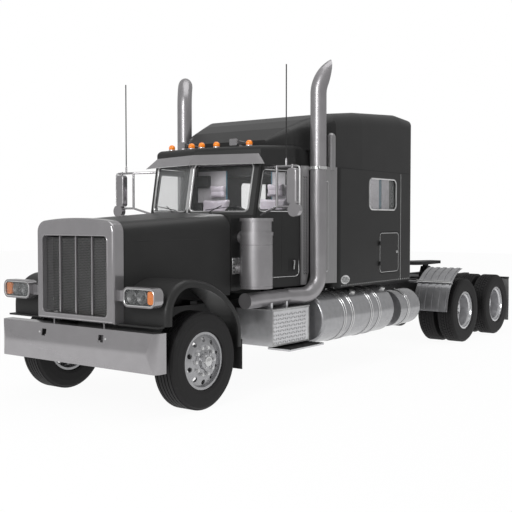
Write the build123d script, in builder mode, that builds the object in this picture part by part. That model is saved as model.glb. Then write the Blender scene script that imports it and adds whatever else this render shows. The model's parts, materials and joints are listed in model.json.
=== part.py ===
from build123d import *
import os
from math import atan2, cos, degrees, hypot, radians, sin, sqrt

os.makedirs("parts", exist_ok=True)

# A semi truck tractor unit, in millimetres. X points to the truck's left, Y to its rear, Z up.
# The origin is on the ground at the middle of the length and width.

# Whole truck
bumper_to_axle = 790
first_drive_axle = 6500
tandem_spacing = 1320
rear_overhang = 640
overall_length = bumper_to_axle + first_drive_axle + tandem_spacing + rear_overhang
front_y = -overall_length / 2
rear_y = overall_length / 2
axle_y = front_y + bumper_to_axle
drive_axle_ys = (axle_y + first_drive_axle, axle_y + first_drive_axle + tandem_spacing)
running_gap = 0.3
panel_gap = 9

# Wheels and tyres
tyre_radius = 515
tyre_width = 280
bead_radius = 286
rim_half = 118
flange_radius = 302
tyre_wall = 18
tread_thickness = 34
front_wheel_x = 1030
dual_spacing = 340
dual_x = 910
hub_bore = 46
hand_holes = 10
hand_hole_ring = 222
hand_hole_radius = 27

# Frame rails, C shaped and open to the middle
rail_outer = 432
rail_web = 12
rail_flange = 90
rail_top = 1010
rail_height = 265
rail_bottom = rail_top - rail_height
rail_front_y = axle_y - 585
rail_rear_y = rear_y - 12
cross_depth = 70
cross_drop = 120

# Front axle and steering
kingpin_x = 855
kingpin_radius = 22
boss_radius = 58
boss_low = 455
boss_high = 575
yoke_gap = 5
yoke_thick = 32
beam_width = 110
spring_width = 82
spring_reach = 640
spring_x = rail_outer - rail_flange / 2
arm_reach = 230
arm_x = kingpin_x
tie_rod_z = 390

# Bumper
bumper_half = 1190
bumper_bottom = 470
bumper_top = 872
bumper_depth = 176
bumper_corner = 110
bumper_wall = 10
bumper_crown_z = (bumper_bottom + bumper_top) / 2
bumper_lean = 30

# Hood, grille surround and fenders
surround_half = 592
surround_bottom = 922
surround_top = 1960
surround_crown = 42
surround_corner = 125
surround_front_y = axle_y - 745
surround_rear_y = axle_y - 600
grille_half = 495
grille_bottom = 990
grille_top = 1815
hood_rear_y = axle_y + 820
hood_front_half = 580
hood_rear_half = 845
hood_front_top = 1948
hood_rear_top = 2032
hood_crown = 36
hood_bottom = 1130
hood_corner = 150
hood_wall = 14
hood_pivot_y = axle_y - 680
hood_pivot_z = 930
hood_pin = 12
fender_outer = 1185
fender_wall = 22
fender_lip = 80
fender_round = 50
lamp_inner = 722
lamp_outer = 1166
lamp_bottom = 1114
lamp_top = 1316
lamp_front_y = axle_y - 745
lamp_rear_y = axle_y - 598

# Cab
cab_floor_z = 1170
belt_z = 2040
roof_z = 2760
roof_front_top = 2852
roof_slope = 0.06
cab_half = 970
cab_wall = 45
cab_front_y = axle_y + 830
cab_rear_y = axle_y + 2330
windshield_vee = 0.28
windshield_rake = 0.19
windshield_y = axle_y + 1045
belt_corner_x = 825
roof_corner_x = 835
roof_half = 905
door_front_y = axle_y + 1318
door_rear_y = axle_y + 2035
door_bottom = 1280
door_top = 2640
door_hinge_out = 22
door_hinge_x = belt_corner_x + 10 + door_hinge_out
door_hinge_zs = (1420, 1880)
door_pin = 9
door_barrel = 16
walk_half = 520
walk_bottom = 1330
walk_top = 2560
glass_thick = 8

# Sleeper
neck_half = 960
neck_front_y = axle_y + 2345
sleeper_front_y = axle_y + 2660
sleeper_seam_y = axle_y + 4400
sleeper_rear_y = axle_y + 4790
sleeper_half = 1120
sleeper_bottom = 1110
sleeper_seam_z = 2650
sleeper_wall = 45
sleeper_corner = 110
luggage_front_y = axle_y + 3780
luggage_rear_y = axle_y + 4350
luggage_bottom = 1240
luggage_top = 1815
luggage_hinge_out = 16
luggage_hinge_zs = (1360, 1640)
luggage_pin = 6
luggage_barrel = 10

# Exhaust, tanks and steps
stack_x = cab_half + 132
stack_y = cab_rear_y - 78
stack_radius = 100
stack_wall = 6
stack_straight_top = 3536
stack_bend = 388
muffler_x = 930
muffler_z = 1052
tank_x = 868
tank_z = 735
tank_radius = 328
cleaner_x = 1062
cleaner_y = axle_y + 1030
cleaner_radius = 185
cleaner_bottom = 1205
cleaner_top = 1965

# Fifth wheel
fifth_y = axle_y + 6780
fifth_top = 1280
fifth_thick = 50
fifth_half = 450
fifth_reach = 450
pivot_z = 1160
pivot_radius = 25
kingpin_bore = 25.7


def block(x0, x1, y0, y1, z0, z1, mode=Mode.ADD):
    """A straight block between two corners, in the open builder."""
    with Locations(((x0 + x1) / 2, (y0 + y1) / 2, (z0 + z1) / 2)):
        Box(abs(x1 - x0), abs(y1 - y0), abs(z1 - z0), mode=mode)


def rod(start, end, radius, mode=Mode.ADD):
    """A round rod from one point to another, in the open builder."""
    run = Vector(*end) - Vector(*start)
    seat = Plane(origin=start, z_dir=run.normalized())
    with Locations(seat.location):
        Cylinder(radius, run.length, align=(Align.CENTER, Align.CENTER, Align.MIN), mode=mode)


def hinge_pins(x, y, skin_x, zs, pin, barrel):
    """Fixed side of a vertical hinge: a pin between two lugs on the skin, at each height."""
    for z in zs:
        rod((x, y, z - barrel), (x, y, z + 5 * barrel), pin)
        for lug_z in (z - barrel, z + 4 * barrel + 3):
            block(skin_x, x + pin, y - 3 * barrel, y + 3, lug_z, lug_z + barrel - 3)


def hinge_barrels(x, y, skin_x, zs, pin, barrel):
    """Moving side of a vertical hinge: a barrel on each pin with a leaf on the door's skin."""
    for z in zs:
        rod((x, y, z), (x, y, z + 4 * barrel), barrel)
        block(skin_x, x, y + panel_gap, y + 4 * barrel, z, z + 4 * barrel)
        block(x - 3, x + 3, y, y + 4 * barrel, z, z + 4 * barrel)
        rod((x, y, z - 1), (x, y, z + 4 * barrel + 1), pin + running_gap, mode=Mode.SUBTRACT)


def half_plan(*points):
    """A plan face from the points of its left half, drawn on both sides of the middle."""
    right = [(-x, y) for x, y in reversed(points) if x > 0]
    return Polygon(*points, *right, align=None)


def other_side(piece):
    """The same piece on the truck's right."""
    return mirror(piece, about=Plane.YZ)


def save(piece, name):
    """Label a piece and write its STEP file."""
    piece.label = name
    export_step(piece, f"parts/{name}.step")


# Frame rails with their crossmembers
with BuildPart() as frame:
    block(rail_outer - rail_web, rail_outer, rail_front_y, rail_rear_y, rail_bottom, rail_top)
    for flange_z in (rail_bottom, rail_top - rail_web):
        block(rail_outer - rail_flange, rail_outer, rail_front_y, rail_rear_y, flange_z,
              flange_z + rail_web)
    mirror(about=Plane.YZ)
    tandem_middle = sum(drive_axle_ys) / 2
    for cross_y in (axle_y + 2250, axle_y + 3500, axle_y + 4750, axle_y + 5850, tandem_middle,
                    rail_rear_y - 120):
        block(-rail_outer + rail_web, rail_outer - rail_web, cross_y, cross_y + cross_depth,
              rail_top - rail_web - cross_drop, rail_top - rail_web)
save(frame.part, "frame")

# Front axle: a drop beam, kingpin bosses, leaf springs and their hangers
beam_profile = ((0, 390), (640, 390), (760, 470), (kingpin_x, 470), (kingpin_x, 560), (740, 560),
                (600, 490), (0, 490))
with BuildPart() as front_axle:
    with BuildSketch(Plane.XZ.offset(-axle_y - beam_width / 2)):
        half_plan(*beam_profile)
    extrude(amount=beam_width)
    for face_y in (axle_y - beam_width / 2, axle_y + beam_width / 2):
        with BuildSketch(Plane.XZ.offset(-face_y)):
            half_plan(*beam_profile)
            offset(amount=-20, kind=Kind.INTERSECTION)
        extrude(amount=beam_width / 3, both=True, mode=Mode.SUBTRACT)
    for side in (-1, 1):
        pin_x = side * kingpin_x
        rod((pin_x, axle_y, boss_low), (pin_x, axle_y, boss_high), boss_radius)
        rod((pin_x, axle_y, boss_low), (pin_x, axle_y, boss_high), kingpin_radius + running_gap,
            mode=Mode.SUBTRACT)
        spring_in = side * spring_x - spring_width / 2
        spring_out = spring_in + spring_width
        block(spring_in, spring_out, axle_y - 70, axle_y + 70, 480, 512)
        with BuildSketch(Plane.YZ.offset(spring_in)):
            with BuildLine():
                upper = ThreePointArc((axle_y - spring_reach, 705), (axle_y, 572), (axle_y + spring_reach, 705))
                lower = ThreePointArc((axle_y - spring_reach, 668), (axle_y, 502), (axle_y + spring_reach, 668))
                Line(upper @ 0, lower @ 0)
                Line(upper @ 1, lower @ 1)
            make_face()
        extrude(amount=spring_width)
        for end_y in (axle_y - spring_reach + 95, axle_y + spring_reach - 40):
            block(spring_in, spring_out, end_y - 35, end_y + 35, 670, rail_bottom)
save(front_axle.part, "front_axle")

# Steering knuckle with kingpin, spindle and steering arm
with BuildPart() as knuckle:
    lug_zs = (boss_low - yoke_gap - yoke_thick, boss_high + yoke_gap)
    rod((kingpin_x, axle_y, lug_zs[0]), (kingpin_x, axle_y, lug_zs[1] + yoke_thick), kingpin_radius)
    web_x = kingpin_x + boss_radius + yoke_gap + 3
    for lug_z in lug_zs:
        rod((kingpin_x, axle_y, lug_z), (kingpin_x, axle_y, lug_z + yoke_thick), boss_radius - 6)
        block(kingpin_x, web_x, axle_y - 46, axle_y + 46, lug_z, lug_z + yoke_thick)
    block(web_x, web_x + 22, axle_y - 60, axle_y + 60, lug_zs[0], lug_zs[1] + yoke_thick)
    rod((web_x, axle_y, tyre_radius), (front_wheel_x + 128, axle_y, tyre_radius), hub_bore - running_gap)
    with BuildSketch(Plane.XY.offset(lug_zs[0])):
        Polygon((kingpin_x - 40, axle_y), (kingpin_x + 40, axle_y), (arm_x + 30, axle_y + arm_reach),
                (arm_x - 30, axle_y + arm_reach), align=None)
        with Locations((arm_x, axle_y + arm_reach)):
            Circle(30)
    extrude(amount=yoke_thick)
    rod((arm_x, axle_y + arm_reach, tie_rod_z - 20), (arm_x, axle_y + arm_reach, lug_zs[0]), 12)
save(knuckle.part, "knuckle_left")
save(other_side(knuckle.part), "knuckle_right")

# Tie rod between the two steering arms
with BuildPart() as tie_rod:
    rod((-arm_x, axle_y + arm_reach, tie_rod_z), (arm_x, axle_y + arm_reach, tie_rod_z), 19)
    for end_x in (-arm_x, arm_x):
        rod((end_x, axle_y + arm_reach, tie_rod_z - 22), (end_x, axle_y + arm_reach, tie_rod_z + 22), 30)
        rod((end_x, axle_y + arm_reach, tie_rod_z - 23), (end_x, axle_y + arm_reach, tie_rod_z + 23),
            12 + running_gap, mode=Mode.SUBTRACT)
save(tie_rod.part, "tie_rod")


def wheel_plane(x, y):
    """Sketch plane through a wheel's axle: local x along the axle, local y the radius."""
    return Plane(origin=(x, y, tyre_radius), x_dir=(1, 0, 0), z_dir=(0, -1, 0))


def tyre(*centres, y):
    """One hollow tyre at each place along the axle line, as separate solids of one piece."""
    half = tyre_width / 2
    with BuildPart() as body:
        for x in centres:
            with BuildSketch(wheel_plane(x, y)):
                with BuildLine():
                    bead = Line((-88, bead_radius), (-rim_half + 4, bead_radius))
                    low = Line(bead @ 1, (-rim_half + 4, flange_radius + 4))
                    side = ThreePointArc(low @ 1, (-half, 405), (-half + 20, tyre_radius - 22))
                    shoulder = Line(side @ 1, (-half + 34, tyre_radius))
                    tread = Line(shoulder @ 1, (0, tyre_radius))
                    drop = Line(tread @ 1, (0, tyre_radius - tread_thickness))
                    ThreePointArc(drop @ 1, (-half + tyre_wall, 410), bead @ 0)
                make_face()
                mirror(about=Plane.YZ)
            revolve(axis=Axis((x, y, tyre_radius), (1, 0, 0)))
    return body.part


def rim_barrel(x):
    """Half section of a rim's barrel with its two flanges, in the open sketch."""
    half = rim_half
    Polygon((x - half, flange_radius), (x - half + 3.5, flange_radius), (x - half + 3.5, bead_radius - 0.4),
            (x - 86, bead_radius - 0.4), (x - 66, 262), (x + 66, 262), (x + 86, bead_radius - 0.4),
            (x + half - 3.5, bead_radius - 0.4), (x + half - 3.5, flange_radius), (x + half, flange_radius),
            (x + half, 276), (x + 92, 270), (x + 72, 250), (x - 72, 250), (x - 92, 270),
            (x - half, 276), align=None)


def hand_holes_cut(x0, x1, y):
    """The ring of round hand holes through a wheel disc."""
    with Locations(Location(((x0 + x1) / 2, y, tyre_radius), (0, 90, 0))):
        with PolarLocations(hand_hole_ring, hand_holes):
            Cylinder(hand_hole_radius, x1 - x0, mode=Mode.SUBTRACT)


# Front wheel: barrel, bulged disc near the outer side, hub with its cap, drum inside
with BuildPart() as front_rim:
    with BuildSketch(wheel_plane(front_wheel_x, axle_y)):
        rim_barrel(0)
        Polygon((62, 262), (92, 272), (104, 238), (118, 200), (122, 168), (122, 120), (108, 120), (108, 168),
                (98, 205), (82, 240), (58, 252), align=None)
        Polygon((20, hub_bore), (20, 170), (108, 170), (122, 118), (132, 92), (168, 86), (176, 70), (176, 0),
                (136, 0), (136, hub_bore), align=None)
    revolve(axis=Axis((front_wheel_x, axle_y, tyre_radius), (1, 0, 0)))
    hand_holes_cut(front_wheel_x + 55, front_wheel_x + 130, axle_y)
save(front_rim.part, "rim_front_left")
save(other_side(front_rim.part), "rim_front_right")
front_tyre = tyre(front_wheel_x, y=axle_y)
save(front_tyre, "tyre_front_left")
save(other_side(front_tyre), "tyre_front_right")

# Dual wheels: two barrels whose deep discs meet at the middle, hub, axle flange and drum
drive_names = ("drive1", "drive2")
for drive_name, drive_y in zip(drive_names, drive_axle_ys):
    with BuildPart() as dual_rim:
        with BuildSketch(wheel_plane(dual_x, drive_y)):
            for centre in (-dual_spacing / 2, dual_spacing / 2):
                rim_barrel(centre)
            outer = dual_spacing / 2
            with BuildLine():
                Polyline((outer - 66, 262), (outer - 92, 272), (40, 236), (13, 196), (0, 190), (0, 120),
                         (13, 120), (13, 178), (52, 226), (outer - 74, 251), close=True)
            make_face()
            mirror(about=Plane.YZ)
            Polygon((-60, hub_bore), (-60, 150), (0, 160), (13, 152), (24, 112), (110, 100), (124, 96),
                    (134, 70), (134, 0), (94, 0), (94, hub_bore), align=None)
        revolve(axis=Axis((dual_x, drive_y, tyre_radius), (1, 0, 0)))
        hand_holes_cut(dual_x - 95, dual_x + 95, drive_y)
    save(dual_rim.part, f"rim_{drive_name}_left")
    save(other_side(dual_rim.part), f"rim_{drive_name}_right")
    dual_tyres = tyre(dual_x - dual_spacing / 2, dual_x + dual_spacing / 2, y=drive_y)
    save(dual_tyres, f"tyre_{drive_name}_left")
    save(other_side(dual_tyres), f"tyre_{drive_name}_right")

# Drive axles: housings with their differentials, spring seats and the shafts that join them
seat_z = 606
with BuildPart() as drive_axles:
    for drive_y in drive_axle_ys:
        with BuildSketch(wheel_plane(0, drive_y)):
            Polygon((0, 0), (dual_x - 75, 0), (dual_x - 75, 72), (330, 72), (200, 190), (90, 225), (0, 225),
                    align=None)
            mirror(about=Plane.YZ)
        revolve(axis=Axis((0, drive_y, tyre_radius), (1, 0, 0)))
        rod((-dual_x - 90, drive_y, tyre_radius), (dual_x + 90, drive_y, tyre_radius), hub_bore - running_gap)
        for seat_x in (-spring_x, spring_x):
            block(seat_x - 60, seat_x + 60, drive_y - 70, drive_y + 70, tyre_radius, seat_z)
        rod((0, drive_y - 360, 575), (0, drive_y, 530), 95)
        rod((0, drive_y, 530), (0, drive_y + 300, 560), 80)
    rod((0, axle_y + 1970, 760), (0, drive_axle_ys[0] - 350, 575), 55)
    rod((0, drive_axle_ys[0] + 290, 560), (0, drive_axle_ys[1] - 350, 575), 50)
save(drive_axles.part, "drive_axles")

# Rear suspension: a drop arm, hanger and air spring at each wheel end
with BuildPart() as rear_suspension:
    for drive_y in drive_axle_ys:
        with BuildSketch(Plane.YZ.offset(spring_x - 44)):
            Polygon((drive_y - 480, 700), (drive_y - 420, rail_bottom), (drive_y - 330, rail_bottom),
                    (drive_y - 330, 700), (drive_y + 110, 676), (drive_y + 190, 560), (drive_y + 470, 560),
                    (drive_y + 470, 510), (drive_y + 150, 510), (drive_y + 80, seat_z), (drive_y - 300, seat_z),
                    (drive_y - 480, 640), align=None)
        extrude(amount=88)
        rod((spring_x, drive_y + 330, 555), (spring_x, drive_y + 330, rail_bottom), 128)
    mirror(about=Plane.YZ)
save(rear_suspension.part, "rear_suspension")

# Engine and gearbox as one plain block on its mounts, and the radiator
with BuildPart() as engine:
    block(-300, 300, axle_y - 430, axle_y + 790, 640, 1760)
    chamfer(engine.edges().filter_by(Axis.Y).group_by(Axis.Z)[-1], length=90)
    block(-215, 215, axle_y + 790, axle_y + 1960, 660, 960)
    for mount_y in (axle_y - 330, axle_y + 620):
        block(-rail_outer + 10, rail_outer - 10, mount_y, mount_y + 110, rail_top, rail_top + 40)
save(engine.part, "engine")
with BuildPart() as radiator:
    block(-520, 520, axle_y - 578, axle_y - 450, rail_top, 1850)
save(radiator.part, "radiator")

def bumper_form(inset):
    """The bumper's outer form moved in by an inset: a bowed face with wrapped ends."""
    half = bumper_half - inset
    face_y = front_y + inset
    back_y = front_y + bumper_depth + inset
    with BuildPart() as body:
        with BuildSketch(Plane.YZ.offset(-half)):
            with BuildLine():
                face = ThreePointArc((face_y + bumper_lean, bumper_top - inset), (face_y, bumper_crown_z),
                                     (face_y + bumper_lean, bumper_bottom + inset))
                Polyline(face @ 1, (back_y, bumper_bottom + inset), (back_y, bumper_top - inset), face @ 0)
            make_face()
        extrude(amount=2 * half)
        with BuildSketch(Plane.XY.offset(bumper_bottom - 5)):
            with Locations((0, face_y + 300)):
                RectangleRounded(2 * half, 600, bumper_corner - inset)
        extrude(amount=bumper_top - bumper_bottom + 10, mode=Mode.INTERSECT)
    return body.part


# Bumper: a bowed channel with wrapped ends, tow slots and its two brackets
with BuildPart() as bumper:
    add(bumper_form(0))
    add(bumper_form(bumper_wall), mode=Mode.SUBTRACT)
    for slot_x in (-440, 440):
        block(slot_x - 36, slot_x + 36, front_y - 5, front_y + 60, 738, 812, mode=Mode.SUBTRACT)
    for bracket_x in (-spring_x, spring_x):
        block(bracket_x - 40, bracket_x + 40, front_y + 60, rail_front_y, rail_bottom, bumper_top - 12)
        block(bracket_x - 40, bracket_x + 40, front_y + bumper_wall, front_y + 62, bumper_crown_z - 20,
              rail_bottom + 10)
        rod((bracket_x, hood_pivot_y, bumper_top - 30), (bracket_x, hood_pivot_y, hood_pivot_z), 9)
        rod((bracket_x - 55, hood_pivot_y, hood_pivot_z), (bracket_x + 55, hood_pivot_y, hood_pivot_z), hood_pin)
save(bumper.part, "bumper")


def crowned(y, half, bottom, side_top, crown, corner):
    """A section across the hood: straight sides, an arched top and rounded upper corners."""
    with BuildSketch(Plane.XZ.offset(-y)) as section:
        with BuildLine():
            arch = ThreePointArc((half, side_top), (0, side_top + crown), (-half, side_top))
            Polyline(arch @ 1, (-half, bottom), (half, bottom), arch @ 0)
        make_face()
        fillet(section.vertices().group_by(Axis.Y)[-1], radius=corner)
    return section.sketch


def hood_solid(inset, bottom, extra=0):
    """The hood's outer form moved in by an inset, down to a given height."""
    rows = ((surround_rear_y - extra, hood_front_half, hood_front_top),
            (hood_rear_y + extra, hood_rear_half, hood_rear_top))
    with BuildPart() as body:
        for y, half, top in rows:
            add(crowned(y, half - inset, bottom, top - inset, hood_crown, hood_corner - inset))
        loft()
    return body.part


def body_corners():
    """The two upper corners of the sketch being drawn."""
    return BuildSketch._get_context().vertices().group_by(Axis.Y)[-1]


# Hood: a shell open to the front, below and behind
with BuildPart() as hood:
    add(hood_solid(0, hood_bottom))
    add(hood_solid(hood_wall, hood_bottom - 60, extra=2), mode=Mode.SUBTRACT)
save(hood.part, "hood")


def fender_prism(inset, drop, x0, x1):
    """A fender's side outline moved in by an inset, closed below by a drop, drawn across."""
    crown = (axle_y - 250, 1375 - inset)
    brow = (axle_y - 600 + inset, 1025)
    with BuildPart() as body:
        with BuildSketch(Plane.YZ.offset(x0)):
            with BuildLine():
                toe = Line((axle_y - 600 + inset, 925 - drop), brow)
                TangentArc(brow, crown, tangent=(0, 1))
                back = JernArc(crown, (1, 0), radius=1015 - inset, arc_size=-46)
                tail = JernArc(back @ 1, back % 1, radius=499 - inset, arc_size=-44)
                heel = Line(tail @ 1, ((tail @ 1).X, 600 - drop))
                Line(heel @ 1, toe @ 0)
            make_face()
        extrude(amount=x1 - x0)
    return body.part


# Fenders: arched shells with a rolled outer lip, each with the flap behind its wheel
fender_inner = hood_front_half - 40
with BuildPart() as fenders:
    add(fender_prism(0, 100, fender_inner, fender_outer))
    outer_edges = fenders.faces().sort_by(Axis.X)[-1].edges().sort_by(Axis.Z)
    fillet(outer_edges[1:], radius=fender_round)
    block(0, fender_outer + 5, axle_y - 700, axle_y - 200, 300, 925, mode=Mode.SUBTRACT)
    block(0, fender_outer + 5, axle_y - 200, axle_y + 700, 300, 600, mode=Mode.SUBTRACT)
    add(fender_prism(fender_wall, 220, fender_inner - 5, fender_outer - fender_wall), mode=Mode.SUBTRACT)
    add(fender_prism(fender_lip, 260, fender_outer - 2 * fender_wall, fender_outer + fender_wall),
        mode=Mode.SUBTRACT)
    add(hood_solid(-0.5, 500, extra=1), mode=Mode.SUBTRACT)
    block(0, surround_half + 0.5, surround_front_y, surround_rear_y + 2, 800, 1600, mode=Mode.SUBTRACT)
    block(surround_half + 2, fender_outer - 40, axle_y - 690, axle_y - 590, 912, 930)
    block(900, fender_outer - 6, axle_y + 604, axle_y + 616, 350, 680)
    mirror(about=Plane.YZ)
save(fenders.part, "fenders")

# Grille surround and the grille in it
with BuildPart() as grille_surround:
    add(crowned(surround_rear_y, surround_half, surround_bottom, surround_top, surround_crown, surround_corner))
    extrude(amount=surround_rear_y - surround_front_y, dir=(0, -1, 0))
    fillet(grille_surround.faces().sort_by(Axis.Y)[0].edges(), radius=28)
    with BuildSketch(Plane.XZ.offset(-surround_rear_y)):
        with Locations((0, (grille_bottom + grille_top) / 2)):
            RectangleRounded(2 * grille_half, grille_top - grille_bottom, 45)
    extrude(amount=400, both=True, mode=Mode.SUBTRACT)
    for pocket_x in (-spring_x, spring_x):
        block(pocket_x - 45, pocket_x + 45, surround_front_y + 20, surround_rear_y - 20, surround_bottom - 5,
              hood_pivot_z + 42, mode=Mode.SUBTRACT)
        rod((pocket_x - 57, hood_pivot_y, hood_pivot_z), (pocket_x + 57, hood_pivot_y, hood_pivot_z),
            hood_pin + running_gap, mode=Mode.SUBTRACT)
save(grille_surround.part, "grille_surround")
with BuildPart() as grille:
    with BuildSketch(Plane.XZ.offset(-surround_front_y - 60)):
        with Locations((0, (grille_bottom + grille_top) / 2)):
            RectangleRounded(2 * grille_half, grille_top - grille_bottom, 45)
    extrude(amount=8)
    for bar_x in (-grille_half / 2, 0, grille_half / 2):
        block(bar_x - 8, bar_x + 8, surround_front_y + 26, surround_front_y + 56, grille_bottom + 2,
              grille_top - 2)
save(grille.part, "grille")

# Headlamp pods on arms from the surround, and their lenses
with BuildPart() as headlamps:
    block(lamp_inner, lamp_outer, lamp_front_y, lamp_rear_y, lamp_bottom, lamp_top)
    fillet(headlamps.edges().filter_by(Axis.Y), radius=72)
    fillet(headlamps.faces().sort_by(Axis.Y)[-1].edges(), radius=40)
    with BuildSketch(Plane.XZ.offset(-lamp_front_y)):
        with Locations(((lamp_inner + lamp_outer) / 2, (lamp_bottom + lamp_top) / 2)):
            RectangleRounded(lamp_outer - lamp_inner - 44, lamp_top - lamp_bottom - 44, 50)
    extrude(amount=-45, mode=Mode.SUBTRACT)
    lamp_mid_z = (lamp_bottom + lamp_top) / 2
    block(surround_half, lamp_inner + 20, lamp_front_y + 55, lamp_rear_y - 12, lamp_mid_z - 55, lamp_mid_z + 55)
    mirror(about=Plane.YZ)
save(headlamps.part, "headlamps")
with BuildPart() as headlamp_lenses:
    with BuildSketch(Plane.XZ.offset(-lamp_front_y - 45)):
        with Locations(((lamp_inner + lamp_outer) / 2, (lamp_bottom + lamp_top) / 2)):
            RectangleRounded(lamp_outer - lamp_inner - 44, lamp_top - lamp_bottom - 44, 50)
    extrude(amount=32)
    mirror(about=Plane.YZ)
save(headlamp_lenses.part, "headlamp_lenses")

# Cab plans, half of each: the lower body, the belt line and the roof edge
vee = windshield_vee
roof_y = windshield_y + windshield_rake * (roof_z - belt_z)
belt_corner_y = windshield_y + belt_corner_x * vee
lower_plan = ((0, cab_front_y), (hood_rear_half, cab_front_y), (belt_corner_x, belt_corner_y),
              (cab_half, door_rear_y), (cab_half, cab_rear_y), (0, cab_rear_y))
belt_plan = ((0, windshield_y), (belt_corner_x, belt_corner_y), (cab_half, door_rear_y),
             (cab_half, cab_rear_y), (0, cab_rear_y))
roof_plan = ((0, roof_y), (roof_corner_x, roof_y + roof_corner_x * vee), (roof_half, door_rear_y),
             (roof_half, cab_rear_y), (0, cab_rear_y))


def plan_slab(plan, inset, z0, z1):
    """A plan moved in by an inset and drawn up between two heights."""
    with BuildPart() as body:
        with BuildSketch(Plane.XY.offset(z0)):
            half_plan(*plan)
            if inset:
                offset(amount=-inset, kind=Kind.INTERSECTION)
        extrude(amount=z1 - z0)
    return body.part


def glasshouse(inset):
    """The cab from belt to roof edge as a solid moved in by an inset."""
    with BuildPart() as body:
        for z, plan in ((belt_z, belt_plan), (roof_z, roof_plan)):
            with BuildSketch(Plane.XY.offset(z)):
                half_plan(*plan)
                if inset:
                    offset(amount=-inset, kind=Kind.INTERSECTION)
        loft(ruled=True)
    return body.part


def door_prism(inset):
    """The door's side outline moved in by an inset, as a prism through the cab's left side."""
    with BuildPart() as body:
        with BuildSketch(Plane.YZ.offset(belt_corner_x - 160)):
            outline = Polygon((door_front_y, door_bottom), (door_rear_y, door_bottom), (door_rear_y, door_top),
                              (door_front_y + 115, door_top), (door_front_y, belt_z), align=None)
            fillet(outline.vertices().group_by(Axis.Y)[0], radius=70)
            if inset:
                offset(amount=-inset, kind=Kind.INTERSECTION)
        extrude(amount=400)
    return body.part


def window_prism(y_low, y_high, y_top, z0, z1, corner, x):
    """A side window's outline as a prism through the left side."""
    with BuildPart() as body:
        with BuildSketch(Plane.YZ.offset(x)):
            outline = Polygon((y_low, z0), (y_high, z0), (y_high, z1), (y_top, z1), align=None)
            fillet(outline.vertices(), radius=corner)
        extrude(amount=400)
    return body.part


def windshield_prism():
    """One windshield pane's front outline as a prism on the left of the middle."""
    with BuildPart() as body:
        with BuildSketch(Plane.XZ.offset(-axle_y - 900)):
            outline = Polygon((26, belt_z + 38), (758, belt_z + 38), (768, roof_z - 100), (26, roof_z - 100),
                              align=None)
            fillet(outline.vertices(), radius=55)
        extrude(amount=-620)
    return body.part


door_window = window_prism(door_front_y + 46, door_rear_y - 62, door_front_y + 146, 2098, 2568, 45, belt_corner_x - 160)
pane = windshield_prism()

# Cab shell: lower body and glasshouse walls, hollow throughout
with BuildPart() as cab_shell:
    add(plan_slab(lower_plan, 0, cab_floor_z, belt_z))
    add(plan_slab(lower_plan, cab_wall, cab_floor_z + 50, belt_z - 26), mode=Mode.SUBTRACT)
    add(glasshouse(0))
    add(glasshouse(cab_wall), mode=Mode.SUBTRACT)
    add(plan_slab(belt_plan, cab_wall, belt_z - 30, belt_z + 0.5), mode=Mode.SUBTRACT)
    block(-walk_half, walk_half, cab_rear_y - cab_wall - 5, cab_rear_y + 5, walk_bottom, walk_top,
          mode=Mode.SUBTRACT)

# Cab body: the shell less its doors and windshield, with mounts under it and the boot behind it
with BuildPart() as cab_body:
    add(cab_shell.part)
    for prism in (door_prism(0), pane):
        add(prism, mode=Mode.SUBTRACT)
        add(other_side(prism), mode=Mode.SUBTRACT)
    with BuildPart(mode=Mode.PRIVATE) as door_pins:
        hinge_pins(door_hinge_x, door_front_y, door_hinge_x - door_hinge_out - 25, door_hinge_zs, door_pin, door_barrel)
        mirror(about=Plane.YZ)
    add(door_pins.part)
    for mount_y in (axle_y + 1080, axle_y + 2120):
        for mount_x in (-spring_x, spring_x):
            block(mount_x - 40, mount_x + 40, mount_y - 50, mount_y + 50, rail_top, cab_floor_z)
    block(-walk_half - 90, walk_half + 90, cab_rear_y, neck_front_y, walk_bottom - 90, walk_top + 60)
    block(-walk_half, walk_half, cab_rear_y - 5, neck_front_y + 5, walk_bottom, walk_top, mode=Mode.SUBTRACT)
save(cab_body.part, "cab_body")

# Windshield: two flat panes set into the front walls
with BuildPart() as windshield:
    add(glasshouse(16))
    add(glasshouse(16 + glass_thick), mode=Mode.SUBTRACT)
    add(pane, mode=Mode.INTERSECT)
    mirror(about=Plane.YZ)
save(windshield.part, "windshield")

# Doors: the shell inside each outline, hinged along the front edge; the glass and the mirror
with BuildPart() as door:
    add(cab_shell.part)
    add(door_prism(panel_gap), mode=Mode.INTERSECT)
    add(door_window, mode=Mode.SUBTRACT)
    hinge_barrels(door_hinge_x, door_front_y, door_hinge_x - door_hinge_out - 5, door_hinge_zs, door_pin, door_barrel)
save(door.part, "door_left")
save(other_side(door.part), "door_right")
with BuildPart() as door_glass:
    add(glasshouse(18))
    add(glasshouse(18 + glass_thick), mode=Mode.SUBTRACT)
    add(door_window, mode=Mode.INTERSECT)
save(door_glass.part, "door_glass_left")
save(other_side(door_glass.part), "door_glass_right")

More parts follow.
